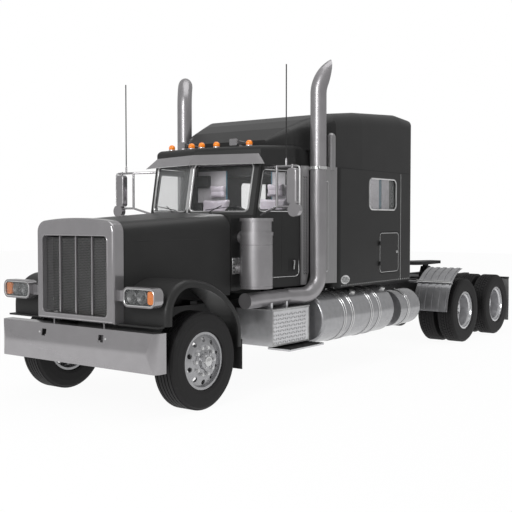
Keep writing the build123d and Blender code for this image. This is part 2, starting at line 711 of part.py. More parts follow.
mirror_y = axle_y + 1300
mirror_in = cab_half + 337
mirror_out = cab_half + 478
post_x = cab_half + 183
spot_x = cab_half + 438
whip_x = cab_half + 313
with BuildPart() as mirror_set:
    block(mirror_in, mirror_out, mirror_y - 40, mirror_y + 40, 2152, 2572)
    fillet(mirror_set.edges().filter_by(Axis.Y), radius=45)
    fillet(mirror_set.faces().sort_by(Axis.Y)[0].edges(), radius=22)
    rod((spot_x, mirror_y - 40, 2098), (spot_x, mirror_y + 25, 2098), 80)
    for bar_z in (2132, 2592):
        rod((post_x, mirror_y, bar_z), (mirror_out - 20, mirror_y, bar_z), 14)
        rod((mirror_in + 60, mirror_y, bar_z - 22), (mirror_in + 60, mirror_y, bar_z + 22), 14)
    rod((post_x, mirror_y, 2120), (post_x, mirror_y, 2604), 15)
    rod((belt_corner_x - 60, door_front_y + 210, 2600), (post_x, mirror_y, 2592), 14)
    rod((belt_corner_x - 40, door_front_y + 95, 2020), (post_x, mirror_y, 2132), 14)
    rod((whip_x, mirror_y, 2592), (whip_x, mirror_y, 2680), 12)
    rod((whip_x, mirror_y, 2680), (whip_x, mirror_y, 3750), 6)
    add(plan_slab(lower_plan, 0, cab_floor_z, belt_z), mode=Mode.SUBTRACT)
    add(glasshouse(0), mode=Mode.SUBTRACT)
save(mirror_set.part, "mirror_left")
save(other_side(mirror_set.part), "mirror_right")

def roof_height(y):
    """Height of the cab roof's sloped top."""
    return roof_front_top + roof_slope * (y - roof_y)


def roof_cap():
    """The cab roof as one solid with a sloped top and rounded upper edges."""
    with BuildPart() as body:
        with BuildSketch(Plane.XY.offset(roof_z)):
            half_plan(*roof_plan)
        extrude(amount=300)
        with BuildSketch(Plane.YZ.offset(-1200)):
            Polygon((roof_y - 50, roof_height(roof_y - 50)), (cab_rear_y + 50, roof_height(cab_rear_y + 50)),
                    (cab_rear_y + 50, roof_z + 400), (roof_y - 50, roof_z + 400), align=None)
        extrude(amount=2400, mode=Mode.SUBTRACT)
        fillet(body.faces().sort_by(Axis.Z)[-1].edges(), radius=64)
    return body.part


# Cab roof cap, sun visor, roof lamps and horns
with BuildPart() as cab_roof:
    add(roof_cap())
    add(plan_slab(roof_plan, cab_wall, roof_z - 5, roof_front_top - 40), mode=Mode.SUBTRACT)
save(cab_roof.part, "cab_roof")
visor_low = (roof_z - 122, windshield_y + 17, roof_half + 45)
visor_high = (roof_z + 8, roof_y - 8, roof_half - 90)
with BuildPart() as sun_visor:
    for z, centre_y, half in (visor_low, visor_high):
        with BuildSketch(Plane.XY.offset(z)):
            half_plan((0, centre_y), (half, centre_y + half * vee), (half, centre_y + half * vee + 8),
                      (0, centre_y + 8))
    loft(ruled=True)
save(sun_visor.part, "sun_visor")
roof_lamp_places = ((0, 1325), (200, 1367), (624, 1468))
with BuildPart() as roof_lamps:
    for lamp_x, lamp_y in roof_lamp_places:
        for side in (-1, 1):
            lamp_base = roof_height(axle_y + lamp_y)
            with Locations((side * lamp_x, axle_y + lamp_y, lamp_base - 6)):
                Cylinder(42, 30, align=(Align.CENTER, Align.CENTER, Align.MIN))
                Cone(34, 20, 50, align=(Align.CENTER, Align.CENTER, Align.MIN))
    add(roof_cap(), mode=Mode.SUBTRACT)
save(roof_lamps.part, "roof_lamps")
horn_x = 420
horn_z = roof_height(axle_y + 1580) + 46
with BuildPart() as air_horns:
    for side in (-1, 1):
        for y, half_w, half_h in ((1415, 58, 40), (1500, 34, 24), (1740, 18, 15)):
            with BuildSketch(Plane.XZ.offset(-axle_y - y)):
                with Locations((side * horn_x, horn_z)):
                    RectangleRounded(2 * half_w, 2 * half_h, 12)
        loft(ruled=True)
        block(side * horn_x - 20, side * horn_x + 20, axle_y + 1560, axle_y + 1600, horn_z - 60, horn_z - 8)
    add(roof_cap(), mode=Mode.SUBTRACT)
save(air_horns.part, "air_horns")

# Inside the cab: dash, steering wheel and seats
cab_floor_top = cab_floor_z + 50
with BuildPart() as dashboard:
    block(-745, 745, cab_front_y + cab_wall, axle_y + 1300, 1660, 1985)
    fillet(dashboard.faces().sort_by(Axis.Y)[-1].edges().filter_by(Axis.X), radius=60)
save(dashboard.part, "dashboard")
with BuildPart() as steering_wheel:
    wheel_seat = Plane(origin=(480, axle_y + 1480, 1950), x_dir=(1, 0, 0), z_dir=(0, 0.82, 0.57))
    with Locations(wheel_seat.location):
        Torus(225, 16)
        Cylinder(55, 40)
        Box(430, 44, 16)
        Box(44, 430, 16)
    rod((480, axle_y + 1480, 1950), (480, axle_y + 1180, 1742), 36)
    block(200, 760, axle_y + 900, axle_y + 1300, 1400, 2100, mode=Mode.SUBTRACT)
save(steering_wheel.part, "steering_wheel")
with BuildPart() as seats:
    block(300, 660, axle_y + 1690, axle_y + 2060, cab_floor_top, 1480)
    block(235, 725, axle_y + 1600, axle_y + 2150, 1480, 1620)
    with BuildSketch(Plane.YZ.offset(245)):
        Polygon((axle_y + 2040, 1600), (axle_y + 2170, 1600), (axle_y + 2260, 2280), (axle_y + 2160, 2280),
                align=None)
    extrude(amount=470)
    block(350, 610, axle_y + 2170, axle_y + 2255, 2270, 2450)
    mirror(about=Plane.YZ)
save(seats.part, "seats")

# Sleeper plan, half of it, with a narrow neck beside the stacks
sleeper_plan = ((0, neck_front_y), (neck_half, neck_front_y), (neck_half, sleeper_front_y),
                (sleeper_half, sleeper_front_y), (sleeper_half, sleeper_rear_y), (0, sleeper_rear_y))


def sleeper_slab(grow, z0, z1):
    """The sleeper's plan with rounded corners, grown by an amount and drawn up."""
    with BuildPart() as body:
        with BuildSketch(Plane.XY.offset(z0)):
            outline = half_plan(*sleeper_plan)
            wide = [v for v in outline.vertices() if abs(v.X) > sleeper_half - 1]
            fillet(wide, radius=sleeper_corner)
            if grow:
                offset(amount=grow, kind=Kind.INTERSECTION)
        extrude(amount=z1 - z0)
    return body.part


def rounded_rear(z0, z1):
    """A block over the sleeper whose rear corners follow the rounded wall."""
    with BuildPart() as body:
        with BuildSketch(Plane.XY.offset(z0)):
            with Locations((0, (neck_front_y + sleeper_rear_y) / 2)):
                plan = Rectangle(2 * sleeper_half, sleeper_rear_y - neck_front_y)
            fillet(plan.vertices().group_by(Axis.Y)[-1], radius=sleeper_corner)
        extrude(amount=z1 - z0)
    return body.part


sleeper_window = window_prism(axle_y + 3500, axle_y + 4250, axle_y + 3500, 2130, 2540, 70, sleeper_half - 200)


def luggage_prism(inset):
    """The luggage door's rounded outline as a prism through the left wall."""
    with BuildPart() as body:
        with BuildSketch(Plane.YZ.offset(sleeper_half - 200)):
            with Locations(((luggage_front_y + luggage_rear_y) / 2, (luggage_bottom + luggage_top) / 2)):
                RectangleRounded(luggage_rear_y - luggage_front_y - 2 * inset,
                                 luggage_top - luggage_bottom - 2 * inset, 60 - inset)
        extrude(amount=400)
    return body.part


with BuildPart() as sleeper_shell:
    add(sleeper_slab(0, sleeper_bottom, sleeper_seam_z))
    add(sleeper_slab(-sleeper_wall, sleeper_bottom + 50, sleeper_seam_z + 5), mode=Mode.SUBTRACT)
    block(-walk_half, walk_half, neck_front_y - 5, neck_front_y + sleeper_wall + 5, walk_bottom, walk_top,
          mode=Mode.SUBTRACT)

# Sleeper walls and floor up to the rear seam, on four mounts, and the rounded rear wall
with BuildPart() as sleeper_walls:
    add(sleeper_shell.part)
    for cut in (sleeper_window, luggage_prism(0)):
        add(cut, mode=Mode.SUBTRACT)
        add(other_side(cut), mode=Mode.SUBTRACT)
    block(-1500, 1500, sleeper_seam_y, sleeper_rear_y + 50, sleeper_bottom - 50, sleeper_seam_z + 50,
          mode=Mode.SUBTRACT)
    with BuildPart(mode=Mode.PRIVATE) as luggage_pins:
        hinge_pins(sleeper_half + luggage_hinge_out, luggage_front_y, sleeper_half, luggage_hinge_zs,
                   luggage_pin, luggage_barrel)
        mirror(about=Plane.YZ)
    add(luggage_pins.part)
    for mount_y in (axle_y + 2700, axle_y + 4250):
        for mount_x in (-spring_x, spring_x):
            block(mount_x - 40, mount_x + 40, mount_y - 60, mount_y + 60, rail_top, sleeper_bottom)
save(sleeper_walls.part, "sleeper_walls")
with BuildPart() as sleeper_rear:
    add(sleeper_shell.part)
    block(-1500, 1500, neck_front_y - 50, sleeper_seam_y, sleeper_bottom - 50, sleeper_seam_z + 50,
          mode=Mode.SUBTRACT)
save(sleeper_rear.part, "sleeper_rear")
with BuildPart() as luggage_door:
    add(sleeper_shell.part)
    add(luggage_prism(panel_gap), mode=Mode.INTERSECT)
    hinge_barrels(sleeper_half + luggage_hinge_out, luggage_front_y, sleeper_half, luggage_hinge_zs,
                  luggage_pin, luggage_barrel)
save(luggage_door.part, "luggage_door_left")
save(other_side(luggage_door.part), "luggage_door_right")
with BuildPart() as sleeper_windows:
    block(sleeper_half - 26, sleeper_half - 18, axle_y + 3400, axle_y + 4350, 2000, 2640)
    add(sleeper_window, mode=Mode.INTERSECT)
    mirror(about=Plane.YZ)
save(sleeper_windows.part, "sleeper_windows")

# Raised roof: sections from the front over the cab to the rear edge
roof_sections = ((1790, 640, 2965, 40), (2060, 850, 3130, 130), (2345, 955, 3250, 180), (2660, 1105, 3345, 190),
                 (3300, sleeper_half, 3420, 190), (4400, sleeper_half, 3490, 180), (4790, sleeper_half, 3455, 170))


def raised_roof(inset, rows, bottom):
    """Loft through rounded roof sections moved in by an inset, above a given height."""
    with BuildPart() as body:
        for y, half, top, corner in rows:
            with BuildSketch(Plane.XZ.offset(-axle_y - y)):
                with Locations((0, (bottom + top - inset) / 2)):
                    Rectangle(2 * (half - inset), top - inset - bottom)
                fillet(body_corners(), radius=max(corner - inset, 12))
        loft(ruled=True)
    return body.part


over_cab = roof_sections[:3]
over_sleeper = roof_sections[2:]
fairing_room = ((1850, 687, 3002, 60), (2060, 850, 3130, 130), (2345, 955, 3250, 180))
sleeper_room = ((2390, 955, 3250, 180), (2660, 1105, 3345, 190), (3300, sleeper_half, 3420, 190),
                (4400, sleeper_half, 3490, 180), (4745, sleeper_half, 3458, 170))
with BuildPart() as roof_form:
    add(raised_roof(0, over_sleeper, sleeper_seam_z))
    add(rounded_rear(sleeper_seam_z, 3600), mode=Mode.INTERSECT)
with BuildPart() as sleeper_roof:
    add(roof_form.part)
    add(raised_roof(sleeper_wall, sleeper_room, sleeper_seam_z - 20), mode=Mode.SUBTRACT)
    add(raised_roof(0, over_cab, roof_front_top - 40))
    add(raised_roof(sleeper_wall, fairing_room, roof_front_top - 60), mode=Mode.SUBTRACT)
    add(roof_cap(), mode=Mode.SUBTRACT)
    block(-1200, 1200, axle_y + 1500, cab_rear_y, roof_front_top - 100, roof_front_top, mode=Mode.SUBTRACT)
save(sleeper_roof.part, "sleeper_roof")

# Bunk: a board, a platform over the luggage space and a mattress on it
with BuildPart() as bunk:
    side_in = sleeper_half - sleeper_wall
    back_in = sleeper_rear_y - sleeper_wall
    block(-side_in, side_in, axle_y + 3690, axle_y + 3715, sleeper_bottom + 50, 1860)
    block(-side_in + 70, side_in - 70, axle_y + 3690, back_in, 1835, 1860)
    block(-side_in + 90, side_in - 90, axle_y + 3700, back_in - 20, 1860, 2010)
save(bunk.part, "bunk")

# Air cleaners on the cowl, with domed caps, bands and a duct
with BuildPart() as air_cleaners:
    rod((cleaner_x, cleaner_y, cleaner_bottom), (cleaner_x, cleaner_y, cleaner_top), cleaner_radius)
    cap_z = cleaner_top - 120
    with Locations((cleaner_x, cleaner_y, cap_z)):
        Cylinder(cleaner_radius + 20, 240, align=(Align.CENTER, Align.CENTER, Align.MIN), mode=Mode.SUBTRACT)
    rod((cleaner_x, cleaner_y, cap_z), (cleaner_x, cleaner_y, cleaner_top), cleaner_radius - 12)
    for band_z, thick, reach in ((1340, 8, 2), (1480, 8, 2), (cap_z - 42, 40, 7), (cleaner_top, 36, 6)):
        rod((cleaner_x, cleaner_y, band_z), (cleaner_x, cleaner_y, band_z + thick), cleaner_radius + reach)
    for duct_z in (1420, 1780):
        rod((cleaner_x, cleaner_y, duct_z), (hood_rear_half - 60, cleaner_y, duct_z), 70)
    add(plan_slab(lower_plan, 0, cab_floor_z - 5, belt_z + 5), mode=Mode.SUBTRACT)
    mirror(about=Plane.YZ)
save(air_cleaners.part, "air_cleaners")

# Exhaust: a muffler along the sill, an elbow, the tall stack and its turned-out tip
with BuildPart() as exhaust_stacks:
    run = Vector(stack_x - muffler_x, stack_y - axle_y - 1820, 0)
    ahead = run.normalized()
    up = Vector(0, 0, 1)
    turn = Vector(sin(radians(37)), cos(radians(37)), 0)
    elbow = 240
    corner = Vector(stack_x, stack_y, muffler_z)
    top = Vector(stack_x, stack_y, stack_straight_top)
    tip_angle = radians(66)
    tip_mid = top + turn * stack_bend * (1 - cos(tip_angle / 2)) + up * stack_bend * sin(tip_angle / 2)
    tip_end = top + turn * stack_bend * (1 - cos(tip_angle)) + up * stack_bend * sin(tip_angle)
    with BuildLine() as stack_path:
        low = Line(corner - ahead * 480, corner - ahead * elbow)
        bend = ThreePointArc(low @ 1, corner + (up - ahead) * elbow * 0.2929, corner + up * elbow)
        rise = Line(bend @ 1, top)
        ThreePointArc(top, tip_mid, tip_end)
    with BuildSketch(Plane(origin=low @ 0, z_dir=ahead)):
        Circle(stack_radius)
        Circle(stack_radius - stack_wall, mode=Mode.SUBTRACT)
    sweep()
    rod((muffler_x, axle_y + 985, muffler_z), (muffler_x, axle_y + 1880, muffler_z), 92)
    rod((stack_x, stack_y, 2604), (stack_x, stack_y, 2642), stack_radius + 8)
    rod((stack_x, stack_y, 2600), (stack_x, stack_y, 2646), stack_radius - 1, mode=Mode.SUBTRACT)
    block(roof_half - 20, stack_x - stack_radius + 4, stack_y - 20, stack_y + 20, 2604, 2642)
    add(glasshouse(0), mode=Mode.SUBTRACT)
    cut_lean = radians(7)
    cut_aim = turn * cos(cut_lean) - up * sin(cut_lean)
    with BuildSketch(Plane(origin=top + turn * 106 + up * 40, x_dir=up.cross(turn), z_dir=cut_aim)):
        Rectangle(900, 900, align=(Align.CENTER, Align.MIN))
    extrude(amount=500, mode=Mode.SUBTRACT)
    mirror(about=Plane.YZ)
save(exhaust_stacks.part, "exhaust_stacks")

# Stainless shields: flat wings on both sides of each stack, and the round vent above the rear one
shield_bottom = 1180
shield_front_y = stack_y - 176
shield_rear_y = sleeper_front_y - 4
vent_x = sleeper_half - 46
vent_y = sleeper_front_y - 68
with BuildPart() as heat_shields:
    with BuildSketch(Plane.XY.offset(shield_bottom)):
        Polygon((cab_half, shield_front_y), (cab_half + 8, shield_front_y), (sleeper_half + 6, shield_rear_y),
                (neck_half + 15, shield_rear_y), (neck_half + 15, shield_rear_y - 10),
                (sleeper_half - 14, shield_rear_y - 10), align=None)
    extrude(amount=sleeper_seam_z - shield_bottom)
    block(neck_half + 15, neck_half + 45, shield_rear_y - 6, sleeper_front_y, 1500, 1560)
    block(cab_half, cab_half + 8, shield_front_y - 20, shield_front_y + 5, shield_bottom, sleeper_seam_z)
    rod((stack_x, stack_y, shield_bottom - 5), (stack_x, stack_y, sleeper_seam_z + 5), stack_radius + 16,
        mode=Mode.SUBTRACT)
    elbow_side = corner - ahead * 48
    rod((elbow_side.X, elbow_side.Y, shield_bottom - 68), (stack_x, stack_y, shield_bottom + 120), stack_radius + 20,
        mode=Mode.SUBTRACT)
    rod((vent_x, vent_y, sleeper_seam_z - 40), (vent_x, vent_y, 3030), 58)
    with Locations((vent_x, vent_y, 3030)):
        Sphere(58)
    add(roof_form.part, mode=Mode.SUBTRACT)
    add(sleeper_slab(0, sleeper_bottom, sleeper_seam_z), mode=Mode.SUBTRACT)
    mirror(about=Plane.YZ)
save(heat_shields.part, "heat_shields")

# Fuel tanks with straps and brackets, and the smaller tanks behind them
with BuildPart() as fuel_tanks:
    tank_rows = ((2250, 4070, tank_x, tank_z, tank_radius, (2730, 2920, 3420, 3640)),
                 (4430, 5070, 860, 690, 262, (4640,)))
    for front, back, x, z, radius, straps in tank_rows:
        rod((x, axle_y + front, z), (x, axle_y + back, z), radius)
        round_ends = fuel_tanks.edges().filter_by(GeomType.CIRCLE).group_by(Axis.Y)
        fillet(round_ends[0] if front < 3000 else round_ends[-1], radius=45)
        for strap in straps:
            rod((x, axle_y + strap, z), (x, axle_y + strap + 60, z), radius + 5)
            block(rail_outer, x - radius + 60, axle_y + strap, axle_y + strap + 60, rail_bottom + 20, rail_top - 60)
    mirror(about=Plane.YZ)
save(fuel_tanks.part, "fuel_tanks")

# Step boxes under the doors, with a low tread and saddles for the muffler
with BuildPart() as step_boxes:
    block(560, 1080, axle_y + 1312, axle_y + 2085, 500, 930)
    block(900, 1220, axle_y + 1470, axle_y + 2210, 440, 462)
    block(900, 940, axle_y + 1480, axle_y + 2200, 440, 510)
    for arm_y in (axle_y + 1450, axle_y + 1900):
        block(rail_outer, 570, arm_y, arm_y + 70, rail_bottom + 20, 920)
    for saddle_y in (axle_y + 1380, axle_y + 1690):
        block(muffler_x - 80, muffler_x + 80, saddle_y, saddle_y + 40, 920, muffler_z)
    rod((muffler_x, axle_y + 1300, muffler_z), (muffler_x, axle_y + 1900, muffler_z), 92.3, mode=Mode.SUBTRACT)
    mirror(about=Plane.YZ)
save(step_boxes.part, "step_boxes")

# Quarter fenders ahead of the drive wheels: a bent sheet with ribs and a mounting tube
quarter_radius = 690
with BuildPart() as quarter_fenders:
    first_y = drive_axle_ys[0]
    rib_pitch = 118
    rows = [(620, 1205, 0, 7)]
    rows += [(640 + rib_pitch * i, 700 + rib_pitch * i, 7, 9) for i in range(5)]
    for x0, x1, rise, thick in rows:
        inner, outer = quarter_radius + rise - 0.5, quarter_radius + rise + thick
        with BuildSketch(Plane.YZ.offset(x0)):
            with BuildLine():
                ends = [(first_y + r * cos(radians(a)), tyre_radius + r * sin(radians(a)))
                        for r in (inner, outer) for a in (178, 140, 100)]
                ThreePointArc(*ends[:3])
                ThreePointArc(*ends[3:])
                Line(ends[0], ends[3])
                Line(ends[2], ends[5])
            make_face()
        extrude(amount=x1 - x0)
    bar_angle = radians(136)
    bar_reach = quarter_radius - 18
    bar_y = first_y + bar_reach * cos(bar_angle)
    bar_z = tyre_radius + bar_reach * sin(bar_angle)
    rod((rail_outer, bar_y, bar_z), (1195, bar_y, bar_z), 20)
    mirror(about=Plane.YZ)
save(quarter_fenders.part, "quarter_fenders")

# Fifth wheel: base with cheeks and pivot pins, and the tilting plate with its throat
with BuildPart() as fifth_wheel_base:
    block(-rail_outer, rail_outer, fifth_y - 300, fifth_y + 300, rail_top, rail_top + 18)
    for x0, x1 in ((300, 334), (386, 420)):
        with BuildSketch(Plane.YZ.offset(x0)):
            Polygon((fifth_y - 150, rail_top + 10), (fifth_y + 150, rail_top + 10), (fifth_y + 60, pivot_z + 40),
                    (fifth_y - 60, pivot_z + 40), align=None)
        extrude(amount=x1 - x0)
    rod((300, fifth_y, pivot_z), (420, fifth_y, pivot_z), pivot_radius)
    mirror(about=Plane.YZ)
save(fifth_wheel_base.part, "fifth_wheel_base")
with BuildPart() as fifth_wheel_plate:
    plate_low = fifth_top - fifth_thick
    block(-fifth_half, fifth_half, fifth_y - fifth_reach, fifth_y + fifth_reach, plate_low, fifth_top)
    fillet(fifth_wheel_plate.edges().filter_by(Axis.Z).group_by(Axis.Y)[0], radius=190)
    fillet(fifth_wheel_plate.edges().filter_by(Axis.Z).group_by(Axis.Y)[-1], radius=60)
    with BuildSketch(Plane.XY.offset(plate_low - 1)):
        half_plan((0, fifth_y + 75), (30, fifth_y + 75), (230, fifth_y + fifth_reach + 10),
                  (0, fifth_y + fifth_reach + 10))
        with Locations((0, fifth_y)):
            Circle(kingpin_bore)
    extrude(amount=fifth_thick + 2, mode=Mode.SUBTRACT)
    for ear_x in (-360, 360):
        block(ear_x - 20, ear_x + 20, fifth_y - 70, fifth_y + 70, pivot_z - 45, plate_low)
    for ear_x in (-360, 360):
        rod((ear_x - 25, fifth_y, pivot_z), (ear_x + 25, fifth_y, pivot_z), pivot_radius + running_gap,
            mode=Mode.SUBTRACT)
save(fifth_wheel_plate.part, "fifth_wheel_plate")

# Rear mud flaps on hanger bars, with the tail lamps beside the frame end
with BuildPart() as mud_flaps:
    flap_y = rear_y - 50
    rod((rail_outer, flap_y, 945), (1205, flap_y, 945), 18)
    block(622, 1203, flap_y - 5, flap_y + 5, 180, 940)
    for lamp_x in (520, 590):
        rod((lamp_x, flap_y - 10, 945), (lamp_x, rear_y, 945), 30)
    mirror(about=Plane.YZ)
save(mud_flaps.part, "mud_flaps")
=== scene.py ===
"""Looks of a semi truck tractor unit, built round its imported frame.

Metres, in the frame of the model: X points to the truck's left, Y to its rear, Z up from the ground.
"""
import json
from math import cos, exp, pi, radians, sin, tan

import bmesh
import bpy
from mathutils import Matrix, Vector


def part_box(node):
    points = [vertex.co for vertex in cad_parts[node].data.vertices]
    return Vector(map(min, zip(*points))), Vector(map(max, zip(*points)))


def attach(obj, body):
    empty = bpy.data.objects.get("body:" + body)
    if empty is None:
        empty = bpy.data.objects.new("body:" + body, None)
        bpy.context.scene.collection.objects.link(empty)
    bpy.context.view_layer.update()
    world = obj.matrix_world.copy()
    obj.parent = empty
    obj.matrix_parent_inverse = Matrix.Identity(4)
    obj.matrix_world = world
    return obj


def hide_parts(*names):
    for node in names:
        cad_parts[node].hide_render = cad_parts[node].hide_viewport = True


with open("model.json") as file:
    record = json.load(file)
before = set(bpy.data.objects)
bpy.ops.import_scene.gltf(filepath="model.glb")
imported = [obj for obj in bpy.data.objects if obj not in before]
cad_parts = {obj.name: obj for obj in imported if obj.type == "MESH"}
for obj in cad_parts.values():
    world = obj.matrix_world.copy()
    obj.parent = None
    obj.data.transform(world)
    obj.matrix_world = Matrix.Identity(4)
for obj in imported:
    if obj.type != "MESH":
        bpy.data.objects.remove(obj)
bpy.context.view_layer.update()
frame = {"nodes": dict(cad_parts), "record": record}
nodes = frame["nodes"]
scene = bpy.context.scene
SIDES = (("left", 1), ("right", -1))
WHEELS = ("front", "drive1", "drive2")
LEFT = (1, 0, 0)
FORWARD = (0, -1, 0)
REARWARD = (0, 1, 0)
UP = (0, 0, 1)


def middle(node):
    """The centre of a node's box."""
    low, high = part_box(node)
    return (low + high) / 2


AXLE = middle("rim_front_left")


def at(y):
    """A length behind the front axle as a place along the truck."""
    return AXLE.y + y


# Colours and nodes


def linear(colour):
    """An sRGB hex colour as linear RGBA."""
    channels = [int(colour[i:i + 2], 16) / 255 for i in (1, 3, 5)]
    return (*[c / 12.92 if c <= 0.04045 else ((c + 0.055) / 1.055) ** 2.4 for c in channels], 1.0)


def add(tree, kind, inputs=None, **settings):
    """Add a node: settings are its properties, inputs a value, an output or a node's first output to link."""
    made = tree.nodes.new(kind)
    for name, value in settings.items():
        setattr(made, name, value)
    for name, value in (inputs or {}).items():
        if isinstance(value, bpy.types.Node):
            value = value.outputs[0]
        if isinstance(value, bpy.types.NodeSocket):
            tree.links.new(value, made.inputs[name])
        else:
            made.inputs[name].default_value = value
    return made


def finish_material(name, **surface):
    """A new material whose principled shader has the given constant inputs, with its tree and shader."""
    material = bpy.data.materials.new(name)
    material.use_nodes = True
    tree = material.node_tree
    tree.nodes.clear()
    shader = add(tree, "ShaderNodeBsdfPrincipled", {k.replace("_", " "): v for k, v in surface.items()})
    add(tree, "ShaderNodeOutputMaterial", {"Surface": shader})
    return material, tree, shader


def speckle(tree, size_mm, detail=3.0):
    """Grey noise with grains of a size in millimetres, on the object's own coordinates."""
    place = add(tree, "ShaderNodeTexCoord").outputs["Object"]
    return add(tree, "ShaderNodeTexNoise", {"Vector": place, "Scale": 1000 / size_mm, "Detail": detail})


def leather(tree, size_mm):
    """The grey cells of a leather grain of a size in millimetres."""
    place = add(tree, "ShaderNodeTexCoord").outputs["Object"]
    return add(tree, "ShaderNodeTexVoronoi", {"Vector": place, "Scale": 1000 / size_mm})


def shade_between(tree, shader, source, dark, light, low=0.35, high=0.65):
    """Colour a shader between two hex colours by a grey source."""
    ramp = add(tree, "ShaderNodeValToRGB", {"Fac": source})
    ramp.color_ramp.elements[0].position = low
    ramp.color_ramp.elements[0].color = linear(dark)
    ramp.color_ramp.elements[1].position = high
    ramp.color_ramp.elements[1].color = linear(light)
    tree.links.new(ramp.outputs["Color"], shader.inputs["Base Color"])


def rubbed(tree, shader, source, dark, light, low, high):
    """Vary a shader's colour and its roughness together by a grey source."""
    shade_between(tree, shader, source, dark, light)
    spread = add(tree, "ShaderNodeMapRange", {"Value": source, "To Min": low, "To Max": high})
    tree.links.new(spread.outputs["Result"], shader.inputs["Roughness"])


def emboss(tree, shader, source, depth_mm, strength=0.5):
    """Bump a shader by a grey source of a depth in millimetres."""
    bump = add(tree, "ShaderNodeBump", {"Height": source, "Distance": depth_mm / 1000, "Strength": strength})
    tree.links.new(bump.outputs["Normal"], shader.inputs["Normal"])


# Materials

# The spacing of a lens's ribs in millimetres, and how far a wave texture turns in one unit
RIB_MM = 11.8375
WAVE_TURN = 20


def coated(name, dark, light, patch_mm, skin, texture=speckle, detail=3.0, **surface):
    """Two mottled colours under a bumped skin, which is a grain size, a depth and a strength."""
    material, tree, shader = finish_material(name, **surface)
    shade_between(tree, shader, speckle(tree, patch_mm, detail), dark, light)
    emboss(tree, shader, texture(tree, skin[0]), *skin[1:])
    return material


def body_enamel(name, dark, light):
    """Sprayed two-coat enamel on sheet: even colour, faint orange peel, soft broad gloss."""
    return coated(name, dark, light, 400, (9, 0.05, 0.15), Roughness=0.40, Specular_IOR_Level=0.20,
                  Coat_Weight=0.08, Coat_Roughness=0.12)


def plated_steel(name, dark, light, roughness):
    """Chrome on polished steel: mirror bright, with a breath of haze and handling marks."""
    material, tree, shader = finish_material(name, Metallic=0.72)
    rubbed(tree, shader, speckle(tree, 160), dark, light, roughness * 0.8, roughness * 1.3)
    return material


def rolled_stainless(name, dark, light):
    """Sheet stainless, duller than chrome; its grain runs along the height, coarser than life to show."""
    material, tree, shader = finish_material(name, Metallic=0.60, Anisotropic=0.35)
    place = add(tree, "ShaderNodeTexCoord").outputs["Object"]
    drawn = add(tree, "ShaderNodeMapping", {"Vector": place, "Scale": (1.0, 1.0, 0.02)})
    grain = add(tree, "ShaderNodeTexNoise", {"Vector": drawn, "Scale": 300.0, "Detail": 2.0})
    rubbed(tree, shader, grain, dark, light, 0.24, 0.36)
    return material


def polished_aluminium(name, dark, light):
    """Buffed aluminium: bright, a little soft, with swirls from the buffing wheel."""
    material, tree, shader = finish_material(name, Metallic=0.65)
    rubbed(tree, shader, speckle(tree, 70, 5.0), dark, light, 0.16, 0.28)
    emboss(tree, shader, speckle(tree, 14), 0.06, 0.15)
    return material


def cast_iron():
    """Sand-cast iron under thin black paint: dull, with a coarse skin."""
    return coated("cast_iron", "#202021", "#343435", 60, (6, 0.6, 0.5), Roughness=0.62, Metallic=0.3)


def chassis_paint():
    """Thick black chassis paint over rolled steel, with dust in its colour."""
    return coated("chassis_paint", "#151515", "#222222", 250, (18, 0.2, 0.3), Roughness=0.5)


def tyre_rubber():
    """Cured black rubber: matt, slightly greyed where it is scuffed."""
    material, tree, shader = finish_material("tyre_rubber", Specular_IOR_Level=0.35)
    rubbed(tree, shader, speckle(tree, 45, 5.0), "#0f0e0f", "#181718", 0.55, 0.75)
    emboss(tree, shader, speckle(tree, 3), 0.15, 0.3)
    return material


def flap_rubber(name, dark, light):
    """Moulded rubber sheet, dusty and matt."""
    return coated(name, dark, light, 120, (5, 0.2, 0.4), detail=4.0, Roughness=0.72)


def window_glass(name, tint, thin, edge):
    """Tinted safety glass: nearly clear face on, and glossier where it is seen at a slant."""
    material, tree, shader = finish_material(name, Roughness=0.03)
    shade_between(tree, shader, speckle(tree, 500), tint, tint)
    slant = add(tree, "ShaderNodeLayerWeight", {"Blend": 0.25})
    cover = add(tree, "ShaderNodeMapRange", {"Value": slant, "To Min": thin, "To Max": edge})
    tree.links.new(cover.outputs["Result"], shader.inputs["Alpha"])
    return material


def lamp_lens(name, dark, light, glow):
    """Coloured acrylic lens with moulded ribs, its colour painted lighter and darker across each rib as
    highlight and shade.
    """
    material, tree, shader = finish_material(name, Roughness=0.12, Coat_Weight=0.5, Emission_Strength=glow,
                                             Emission_Color=linear(light))
    place = add(tree, "ShaderNodeTexCoord").outputs["Object"]
    scale = 2 * pi * 1000 / WAVE_TURN / RIB_MM
    wave = add(tree, "ShaderNodeTexWave", {"Vector": place, "Scale": scale}, bands_direction="Z")
    ribs = wave.outputs["Fac"]
    # Painted highlight and shade: the colour runs from dark to light across each rib; the same ribs also bump
    # the surface.
    shade_between(tree, shader, ribs, dark, light, 0.1, 0.7)
    emboss(tree, shader, ribs, 0.5, 0.4)
    return material


def moulded_plastic(name, dark, light, grain_mm):
    """Moulded plastic with the leather grain of a dashboard or a lamp housing, coarser than life to show."""
    return coated(name, dark, light, 90, (grain_mm, 0.25, 0.4), leather, Roughness=0.55)


def seat_vinyl(name, dark, light):
    """Lilac-grey seat vinyl: soft sheen, and a grain that is coarser than life to show."""
    return coated(name, dark, light, 130, (5, 0.4, 0.35), leather, Roughness=0.58, Sheen_Weight=0.25,
                  Sheen_Roughness=0.5)


